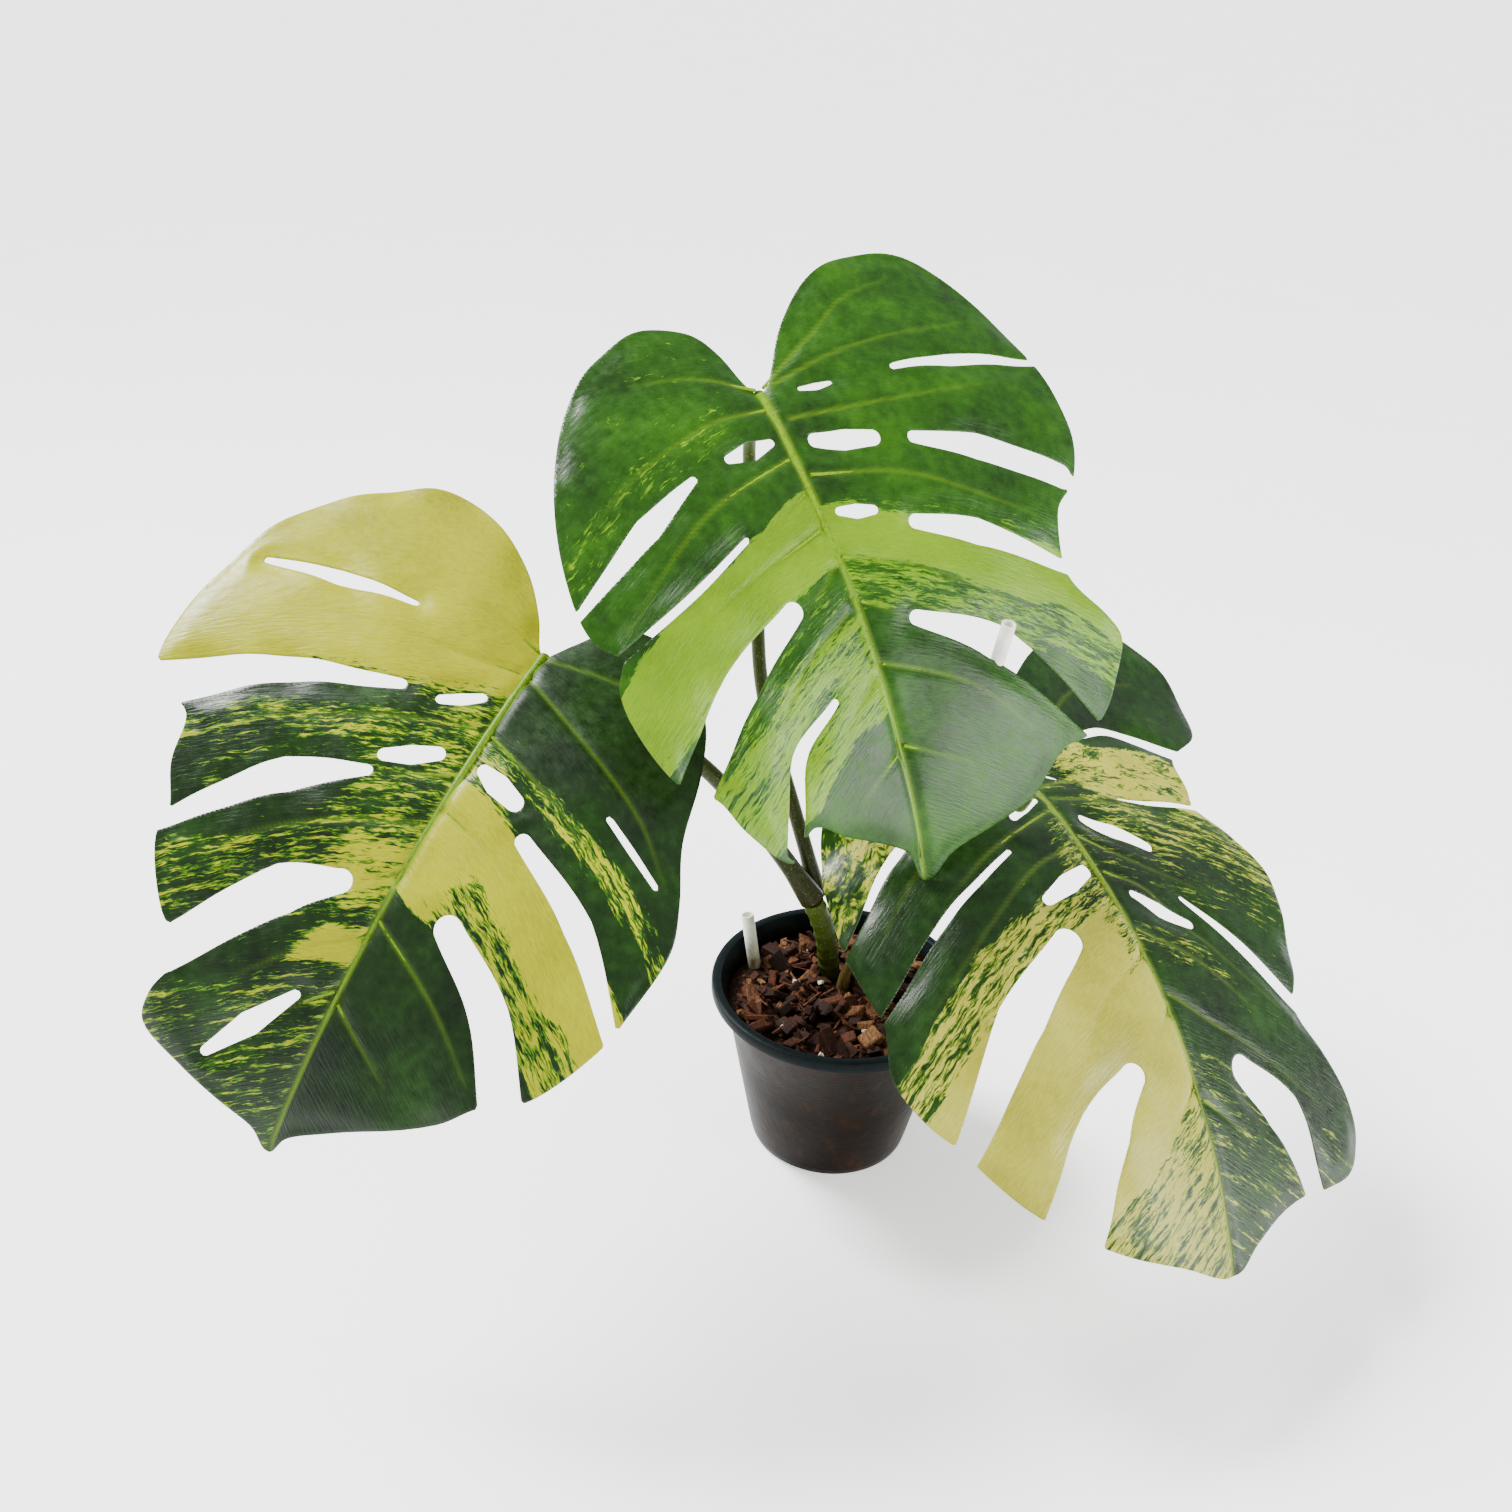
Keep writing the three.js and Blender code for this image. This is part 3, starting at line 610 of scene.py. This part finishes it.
# The flat blade is a fine sheet of cells, cut back to the outline, with its rim drawn onto the outline.
def flat_blade(margin, cuts):
    low, high = margin.min(0) - CELL, margin.max(0) + CELL
    across, along = (int(count) for count in np.ceil((high - low) / CELL))
    bm = bmesh.new()
    sheet = Matrix.Translation((*((low + high) / 2), 0)) @ Matrix.Diagonal((*(high - low), 1, 1))
    bmesh.ops.create_grid(bm, x_segments=across, y_segments=along, size=0.5, matrix=sheet)
    bm.verts.index_update()
    depth = depth_inside(np.array([vert.co[:2] for vert in bm.verts]), margin, cuts)
    outside = [face for face in bm.faces if sum(depth[vert.index] for vert in face.verts) < 0]
    bmesh.ops.delete(bm, geom=outside, context="FACES")
    rim = [vert for vert in bm.verts if vert.is_boundary]
    spots = np.array([vert.co[:2] for vert in rim])
    steps = (np.array((RIM_PROBE, 0)), np.array((0, RIM_PROBE)))
    for _ in range(3):
        depth = depth_inside(spots, margin, cuts)
        slope = np.stack([depth_inside(spots + step, margin, cuts) - depth_inside(spots - step, margin, cuts)
                          for step in steps], axis=1) / (2 * RIM_PROBE)
        size = np.maximum((slope ** 2).sum(1), 0.3)
        spots = spots - (np.clip(depth, -2 * CELL, 2 * CELL) / size)[:, None] * slope
    for vert, (u, v) in zip(rim, spots):
        vert.co = (u, v, 0)
    bmesh.ops.remove_doubles(bm, verts=rim, dist=RIM_MERGE)
    rim = dict.fromkeys(vert for vert in bm.verts if vert.is_boundary)
    first = neighbours(rim, rim)
    near = list(dict.fromkeys([*first, *neighbours(first, rim)]))
    for _ in range(3):
        bmesh.ops.smooth_vert(bm, verts=near, factor=0.5, use_axis_x=True, use_axis_y=True)
    bm.verts.index_update()
    return bm


def grow_blade(name, leaf, finishes):
    margin, cuts = blade_lines(leaf)
    bm = flat_blade(margin, cuts)
    flat = np.array([vert.co[:2] for vert in bm.verts])
    u, v = flat.T
    depth = depth_inside(flat, margin, cuts)
    ribs = np.full(len(flat), np.inf)
    vein = np.zeros(len(flat))
    for path in leaf["veins"]:
        gap, share = to_line(flat, curve_through(path, CUT_STEPS))
        ribs = np.minimum(ribs, gap + 6 * share)
        vein = np.maximum(vein, (1 - 0.85 * share) * np.exp(-(gap / VEIN_WIDTH) ** 2))
    share = np.clip(u / (leaf["length"] + 2), 0, 1)
    midrib_gap = np.where(u < 0, np.hypot(u, v), np.abs(v))
    midrib = np.exp(-(midrib_gap / (MIDRIB_WIDTH * (1.15 - 0.75 * share))) ** 2)
    lift = -GROOVE_DEPTH * np.exp(-(midrib_gap / GROOVE_WIDTH) ** 2) + RIDGE_HEIGHT * midrib * (1 - share)
    lift -= VEIN_SINK * np.exp(-(ribs / VEIN_TROUGH) ** 2) * soft(depth, 0, 10)
    lift += QUILT * np.sin(u / 14 + 1.7 * np.sin(v / 21)) * np.sin(v / 17 + u / 40)
    ripple = np.sin(u / 11 + 2 * np.sin(v / 29)) * np.cos(v / 13 - u / 37)
    lift += (RIPPLE * ripple - EDGE_ROLL) * np.exp(-(np.maximum(depth, 0) / EDGE_WIDTH) ** 2)
    body = bent(leaf, u, v, lift) * MM
    field = yellow_field(leaf, u, v)
    fill, pale, rib = (bm.verts.layers.float.new(key) for key in ("yellow", "vein", "midrib"))
    start = lane_start(u, v)  # the grain map runs out along the veins and fans round the stalk behind it
    lane = np.where(start > 0, root_of(leaf, u, v), 45 * start / (np.abs(v) + 25))
    reach = np.where(start > 0, np.abs(v), np.hypot(v, start)) + np.where(v > 0, OTHER_HALF, 0)
    grain_map = bm.loops.layers.uv.new("vein_grain")
    for vert in bm.verts:
        i = vert.index
        vert.co = body[i]
        vert[fill], vert[pale], vert[rib] = field[i], vein[i], midrib[i]
        for loop in vert.link_loops:
            loop[grain_map].uv = (reach[i] * MAP_SCALE, lane[i] * MAP_SCALE)
    bmesh.ops.recalc_face_normals(bm, faces=bm.faces)
    bm.normal_update()
    if sum(face.normal.z for face in bm.faces) < 0:
        bmesh.ops.reverse_faces(bm, faces=bm.faces)
    blade = piece_of(bm, name, finishes, 80)
    wall = blade.modifiers.new("leather", "SOLIDIFY")
    wall.thickness = BLADE_THICKNESS * MM
    wall.offset = -1
    wall.material_offset = 1
    wall.material_offset_rim = 1
    blade.modifiers.new("even_shading", "WEIGHTED_NORMAL")
    return blade


RIB_STEPS = 40
MIDRIB_UNDER = -2.2
VEIN_UNDER = -2.0
MIDRIB_SIZES = (2.3, 0.5)
VEIN_SIZES = (0.95, 0.25)
RIB_MARGIN = 1.5


# The ribs stand out from the underside. A side rib stops where a hole or the margin cuts it off.
def grow_ribs(name, leaf, finish):
    margin, cuts = blade_lines(leaf)
    us = np.linspace(0, leaf["length"] - 12, RIB_STEPS)
    runs = [(bent(leaf, us, 0 * us - 1e-3, 0 * us + MIDRIB_UNDER), np.linspace(*MIDRIB_SIZES, RIB_STEPS))]
    for path in leaf["veins"]:
        line = curve_through(path, CUT_STEPS)
        size = np.linspace(*VEIN_SIZES, len(line))
        blocked = np.flatnonzero(depth_inside(line, margin, cuts)[2:] < RIB_MARGIN)
        reach = 2 + blocked[0] if len(blocked) else len(line)
        line, size = line[:reach], size[:reach]
        runs.append((bent(leaf, line[:, 0], line[:, 1], VEIN_UNDER + 0 * size), size))
    return tubes_of(name, runs, [finish], 3)


LANE_SWAY_SCALE = 9
LANE_SWAY = 0.05
STREAK_LANES = (4.5, 30, 1)
FLECK_LANES = (22, 110, 1)
VEINLET_LANES = (12, 70, 1)
STREAK_SHARE = 0.64
EDGE_SHARPNESS = 7.0
LEAF_CLOUD_SCALE = 22
LEAF_FINE_SCALE = 170
UNDER_FADE = 0.38


# Streaks and flecks that run along the veins are added to how yellow the place is. Where the sum is high the
# cells are yellow, and just below that a middle green. The underside is the same blade, paler and duller.
def blade_finish(name, look, under=False):
    upper, lower = (look["gloss"], 0.26, 0.42, 0.0011), (0.55, 0.14, 0.7, 0.0016)
    gloss, gleam, vein_share, relief = lower if under else upper
    finish, tree, shader = finish_start(name, gloss, gleam)
    place = node(tree, "TexCoord").outputs["Object"]
    amount, vein, rib = (node(tree, "Attribute", attribute_name=key).outputs["Fac"]
                         for key in ("yellow", "vein", "midrib"))
    lanes = node(tree, "UVMap", uv_map="vein_grain").outputs[0]
    sway = sum_of(tree, grain(tree, lanes, LANE_SWAY_SCALE, 2), LANE_SWAY, -LANE_SWAY / 2)
    shift = node(tree, "CombineXYZ", {1: sway}).outputs[0]
    wander = node(tree, "VectorMath", {0: lanes, 1: shift}, operation="ADD").outputs[0]
    streak = grain(tree, stretched(tree, wander, STREAK_LANES), 1, 5, 0.68)
    fleck = grain(tree, stretched(tree, wander, FLECK_LANES), 1, 3, 0.6)
    cells = sum_of(tree, fleck, 1 - STREAK_SHARE, product(tree, streak, STREAK_SHARE))
    gate = sum_of(tree, amount, 0.5, -0.75)
    flow = node(tree, "Math", {0: cells, 1: gate}, operation="ADD").outputs[0]
    edge = sum_of(tree, flow, EDGE_SHARPNESS, 0.5)
    cloud = grain(tree, place, LEAF_CLOUD_SCALE, 4)
    fine = grain(tree, place, LEAF_FINE_SCALE, 4)
    green = ramp(tree, sum_of(tree, fine, 0.35, product(tree, cloud, 0.65)),
                 [(0.36, look["deep"]), (0.52, look["green"]), (0.68, look["bright"])])
    gold = ramp(tree, sum_of(tree, fleck, 0.4, product(tree, cloud, 0.6)),
                [(0.36, look["gold_low"]), (0.52, look["gold"]), (0.7, look["gold_high"])])
    middle = blend_colour(tree, spread(tree, edge, 0.16, 0.36), green, tone(look["middle"]))
    gilt = spread(tree, edge, 0.46, 0.6)
    painted = blend_colour(tree, gilt, middle, gold)
    vein_colour = blend_colour(tree, gilt, tone(look["vein"]), tone(look["gold_low"]))
    veined = blend_colour(tree, product(tree, vein, vein_share), painted, vein_colour)
    ribbed = blend_colour(tree, product(tree, rib, 0.92), veined, tone(look["vein"]))
    if under:
        ribbed = blend_colour(tree, UNDER_FADE, ribbed, tone(look["under"]))
    else:
        tree.links.new(spread(tree, fine, 0.3, 0.7, gloss - 0.06, gloss + 0.1), shader.inputs["Roughness"])
    tree.links.new(ribbed, shader.inputs["Base Color"])
    veinlets = grain(tree, stretched(tree, lanes, VEINLET_LANES), 1, 3)
    height = sum_of(tree, veinlets, 0.7, product(tree, fine, 0.22))
    raise_surface(tree, shader, height, relief, 0.45)
    return finish


LOOK_LEFT = {"deep": "#061701", "green": "#0d2601", "bright": "#173a02", "middle": "#3f6c02",
             "gold_low": "#848500", "gold": "#9a9b00", "gold_high": "#a9a902", "vein": "#63870c",
             "under": "#5f7330", "gloss": 0.33}

petiole_finish = stalk_finish("olive_petiole", "#26260a", "#2e380a", "#466010")
PETIOLE_LEFT = [(-18.7, 19, 151.6), (-32, 19, 172), (-51, 18, 199), (-85, 15, 239.5), (-119, 9, 268),
                (-150, -3, 296)]
PETIOLE_END_LIFT = 16
PETIOLE_JOIN_LIFT = 2.4
PETIOLE_TIP = 3.1
SHEATH_SWELL = 1.4
KNEE_SWELL = 0.7
KNEE_AT = 0.93
KNEE_SPREAD = 0.035


def grow_petiole(name, route, leaf, foot):
    ends = bent(leaf, [0, 0], [0, 0], [-PETIOLE_END_LIFT, -PETIOLE_JOIN_LIFT])
    line = curve_through([*route, *ends], 12)
    share = np.linspace(0, 1, len(line))
    size = foot + (PETIOLE_TIP - foot) * share + SHEATH_SWELL * (1 - soft(share, 0, 0.16))
    size += KNEE_SWELL * np.exp(-((share - KNEE_AT) / KNEE_SPREAD) ** 2)
    return tubes_of(name, [(line, size)], [petiole_finish], 8)


def finish_leaf(name, leaf, look, petiole, route, foot):
    top, under = blade_finish(name + "_top", look), blade_finish(name + "_under", look, True)
    blade = grow_blade(name + "_blade", leaf, [top, under])
    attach(blade, "root")
    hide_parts(name)
    rib_finish = stalk_finish(name + "_rib", look["vein"], look["vein"], look["under"])
    ribs = grow_ribs(name + "_ribs", leaf, rib_finish)
    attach(ribs, "root")
    stalk = grow_petiole(petiole + "_stalk", route, leaf, foot)
    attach(stalk, "root")
    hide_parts(petiole)


finish_leaf("leaf_left", LEAF_LEFT, LOOK_LEFT, "petiole_left", PETIOLE_LEFT, 6)

# ---- top leaf ----
# The newest blade, held highest and tilted to the light, mid green with lime sectors on both sides of the
# midrib and a bluish wax towards the tip. It grows as the left one does.
LEAF_TOP = {
    "at": (-63, 45, 442), "heading": -54.4, "pitch": -34, "bend": 46.6, "backBend": -10, "roll": 10.8,
    "length": 271, "fold": 6, "droop": (16, 16), "backDroop": (16, 16), "yellow": 0.12,
    "margin": [(0, 0), (-26, -10), (-44, -22), (-52, -44), (-44, -70), (-28, -92), (6, -116), (45, -131),
               (82, -136), (98, -133), (110, -124), (122, -130), (140, -130), (174, -118), (189, -101),
               (208, -92), (232, -72), (218, -58), (229, -42), (252, -8), (272, 0), (260, 18), (253, 50),
               (246, 72), (229, 92), (228, 112), (202, 138), (185, 145), (170, 139), (146, 124),
               (126, 124), (108, 130), (96, 148), (76, 158), (50, 161), (22, 157), (-10, 147), (-40, 132),
               (-58, 116), (-65, 86), (-58, 56), (-34, 28)],
    "cuts": [([(37, -56), (54, -88), (86, -140)], (4, 13, 3)),
             ([(74, -43), (90, -76), (112, -132)], (3, 4, 4)),
             ([(115, -35), (140, -73), (190, -118)], (11, 19, 18)),
             ([(163, -29), (183, -55), (226, -70)], (4, 8, 9)),
             ([(8, 74), (12, 108), (26, 164)], (4, 8, 4)), ([(49, 65), (63, 98), (92, 142)], (7, 16, 14)),
             ([(91, 47), (106, 77), (142, 128)], (8, 15, 6)),
             ([(137, 28), (162, 67), (228, 116)], (8, 18, 9)), ([(5, 20), (6, 29), (6, 37)], (3, 5, 3)),
             ([(34, 15), (39, 29), (43, 43)], (8, 12, 9)), ([(74, 10), (77, 18), (79, 27)], (5, 8, 5)),
             ([(29, -9), (30, -20), (31, -33)], (5, 11, 5))],
    "veins": [[(10, -2), (11, -34), (26, -80), (44, -112)], [(40, -3), (55, -54), (76, -88), (100, -118)],
              [(80, -4), (97, -56), (111, -87), (130, -118)], [(124, -7), (147, -45), (195, -75)],
              [(-3, -1), (-17, -32), (-22, -64)], [(-3, 3), (-27, 46), (-40, 68), (-46, 100)],
              [(-2, 6), (-10, 52), (-9, 127)], [(19, 7), (25, 59), (31, 121)],
              [(51, 4), (65, 50), (91, 92), (110, 118)], [(96, 2), (111, 36), (125, 55), (166, 112)],
              [(153, 3), (168, 32), (180, 49), (212, 76)], [(60, -4), (78, -36)], [(100, -5), (116, -24)],
              [(158, -4), (182, -34)], [(196, 2), (216, 36)], [(120, 3), (134, 22)],
              [(200, -3), (216, -30)]],
    "sectors": [(-1, -200, 21, 0, 200, 0.2), (-1, 0, 14, 30, 200, 0.34), (-1, 21, 58, 0, 200, 0.05),
                (-1, 60, 99, 0, 200, 0.97), (-1, 92, 103, 30, 200, 0.6), (-1, 103, 122, 0, 200, 0.32),
                (-1, 122, 148, 0, 200, 0.52), (-1, 148, 176, 0, 200, 0.58), (-1, 176, 300, 0, 200, 0.1),
                (1, -200, 60, 0, 200, 0.08), (1, 60, 70, 8, 200, 0.3), (1, 70, 98, 0, 200, 0.95),
                (1, 98, 124, 0, 200, 0.44), (1, 124, 300, 0, 200, 0.0)],
}
LOOK_TOP = {"deep": "#133001", "green": "#1f4801", "bright": "#2f5d01", "middle": "#4a7801",
            "gold_low": "#5a7d00", "gold": "#6a8f00", "gold_high": "#799c02", "vein": "#72980e",
            "under": "#637f30", "gloss": 0.32}
PETIOLE_TOP = [(-16, 31.5, 147), (-23, 31, 174), (-32, 38, 200), (-54.5, 56, 270), (-61, 69, 340),
               (-68, 76, 400)]
finish_leaf("leaf_top", LEAF_TOP, LOOK_TOP, "petiole_top", PETIOLE_TOP, 4.6)

# ---- right leaf ----
# The lowest blade, dark green and finely marbled, with a cream sector that takes in the lobe left of the
# midrib and most of the tip. One basal lobe turns olive yellow behind the top leaf.
LEAF_RIGHT = {
    "at": (100, 26, 232), "heading": -58, "pitch": -13, "bend": 46, "backBend": -90, "roll": -14,
    "length": 284, "fold": 2, "droop": (50, 0), "backDroop": (8, 0), "yellow": 0.28,
    "margin": [(0, 0), (-6, -9), (-1, -26), (5, -46), (-6, -66), (-24, -90), (-22, -122), (2, -143),
               (34, -153), (64, -157), (88, -156), (112, -154), (142, -160), (174, -150), (192, -138),
               (212, -126), (232, -110), (250, -86), (262, -64), (272, -36), (284, 0), (271, 20),
               (256, 62), (256, 84), (252, 103), (235, 116), (214, 114), (187, 105), (162, 98), (140, 109),
               (104, 123), (83, 131), (52, 122), (32, 110), (16, 118), (0, 123), (-14, 134), (-30, 166),
               (-58, 174), (-88, 164), (-106, 138), (-112, 102), (-98, 62), (-66, 26), (-26, 8)],
    "cuts": [([(6, -72), (18, -106), (66, -164)], (2, 7, 2)),
             ([(42, -48), (68, -102), (114, -162)], (3, 5, 3)),
             ([(102, -46), (134, -88), (202, -140)], (16, 25, 13)),
             ([(177, -40), (198, -64), (258, -98)], (14, 27, 34)),
             ([(-36, 58), (-38, 96), (-8, 148)], (4, 7, 12)), ([(16, 56), (24, 84), (32, 118)], (2, 4, 5)),
             ([(88, 50), (122, 74), (168, 106)], (3, 7, 8)),
             ([(186, 38), (212, 60), (262, 74)], (16, 26, 15)),
             ([(28, 18), (40, 33), (53, 50)], (6, 11, 7)), ([(82, 15), (93, 30), (104, 46)], (5, 10, 6)),
             ([(64, -9), (70, -26), (76, -43)], (8, 12, 7)), ([(11, -8), (16, -20), (21, -31)], (5, 7, 5)),
             ([(-8, 14), (-6, 18), (-4, 23)], (2, 3, 2))],
    "veins": [[(11, 6), (19, 45), (51, 91)], [(65, 5), (82, 28), (115, 48), (160, 84)],
              [(140, 4), (163, 32), (175, 49), (216, 92)], [(48, -3), (55, -37), (81, -82), (118, -132)],
              [(117, -1), (138, -41), (165, -67), (206, -106)],
              [(8, -3), (14, -52), (34, -100), (70, -144)], [(2, 4), (-4, 52), (2, 104)],
              [(-2, 3), (-40, 40), (-70, 84), (-72, 136)], [(20, -3), (40, -60), (58, -96)],
              [(84, -2), (98, -30)], [(150, -2), (172, -30)], [(190, -2), (218, -40)],
              [(40, 4), (62, 30), (84, 64)], [(102, 4), (124, 34), (160, 66)], [(196, 3), (226, 34)]],
    "sectors": [(-1, -200, -11, 0, 200, 0.45), (-1, -11, 29, 0, 200, 0.06), (-1, 29, 56, 20, 200, 0.14),
                (-1, 56, 84, 20, 200, 0.5), (-1, 29, 84, 0, 22, 0.4), (-1, 84, 150, 12, 200, 0.95),
                (-1, 84, 120, 0, 16, 0.55), (-1, 120, 196, 0, 200, 0.9), (-1, 196, 300, 0, 200, 0.52),
                (1, -200, -44, 0, 200, 0.0), (1, -44, 3, 30, 200, 0.56), (1, -44, 3, 0, 30, 0.3),
                (1, 3, 70, 0, 200, 0.3), (1, 3, 40, 30, 200, 0.42), (1, 70, 168, 0, 200, 0.16),
                (1, 96, 120, 0, 60, 0.34), (1, 168, 300, 0, 200, 0.32)],
}
LOOK_RIGHT = {"deep": "#081902", "green": "#102c02", "bright": "#1b3f04", "middle": "#4d6a0a",
              "gold_low": "#8a8722", "gold": "#a09d34", "gold_high": "#b0ac4a", "vein": "#6f8826",
              "under": "#5f7332", "gloss": 0.31}
PETIOLE_RIGHT = [(-5, 22.5, 147), (4, 30, 161), (18, 41, 178), (54, 55, 203), (90, 50, 216)]
finish_leaf("leaf_right", LEAF_RIGHT, LOOK_RIGHT, "petiole_right", PETIOLE_RIGHT, 4.6)

# ---- floor ----
# A plain white studio floor, lit a little from below, and wide enough to run past the view on every side.
FLOOR_SPAN = 60
FLOOR_GLOW = 0.8
floor_finish, tree, shader = finish_start("studio_floor", 0.7)
place = node(tree, "TexCoord").outputs["Object"]
floor_white = ramp(tree, grain(tree, place, 6, 2), [(0.3, "#f7f7f7"), (0.7, "#fafafa")])
tree.links.new(floor_white, shader.inputs["Base Color"])
shader.inputs["Emission Color"].default_value = tone("#ffffff")
shader.inputs["Emission Strength"].default_value = FLOOR_GLOW
bm = bmesh.new()
bmesh.ops.create_grid(bm, x_segments=4, y_segments=4, size=FLOOR_SPAN / 2)
floor = piece_of(bm, "floor", [floor_finish])

# ---- light and camera ----
# A wide ceiling sun from the back left throws the soft shadow and a soft box on the same side adds to it.
# A window box on the right puts the wax gloss on the blades. The camera looks down on the plant from the
# front. Boxes are (place, width, power).
BOXES = {"soft_box": ((-0.95, 0.45, 1.5), 0.8, 26), "side_window": ((1.7, -0.9, 0.6), 1.1, 50)}
CEILING_PLACE = (-0.75, 0.45, 1.2)
CEILING_SPREAD = 20
CEILING_POWER = 7.0
AIM = Vector((0.0, 0.0, 0.2))
CAMERA_PLACE = (-0.0558, -0.7507, 0.6807)
CAMERA_TILT = 60.5
CAMERA_ROLL = 3
CAMERA_LENS = 38.1
ROOM_WHITE = (0.93, 0.96, 1.0, 1)
ROOM_STRENGTH = 0.85

scene = bpy.context.scene
ceiling = (CEILING_PLACE, CEILING_SPREAD, CEILING_POWER)
for name, (spot, width, power) in {**BOXES, "ceiling": ceiling}.items():
    lamp = bpy.data.lights.new(name, "AREA" if name in BOXES else "SUN")
    if name in BOXES:
        lamp.size = width
    else:
        lamp.angle = math.radians(width)
    lamp.energy = power
    holder = bpy.data.objects.new(name, lamp)
    holder.location = spot
    holder.rotation_euler = (AIM - Vector(spot)).to_track_quat("-Z", "Y").to_euler()
    scene.collection.objects.link(holder)
room = bpy.data.worlds.new("studio_room")
room.use_nodes = True
room.node_tree.nodes["Background"].inputs["Color"].default_value = ROOM_WHITE
room.node_tree.nodes["Background"].inputs["Strength"].default_value = ROOM_STRENGTH
scene.world = room
eye = bpy.data.cameras.new("front_camera")
eye.lens = CAMERA_LENS
camera = bpy.data.objects.new("front_camera", eye)
camera.location = CAMERA_PLACE
tilted = Euler((math.radians(CAMERA_TILT), 0, 0)).to_matrix()
camera.rotation_euler = (tilted @ Matrix.Rotation(math.radians(CAMERA_ROLL), 3, "Z")).to_euler()
scene.collection.objects.link(camera)
scene.camera = camera
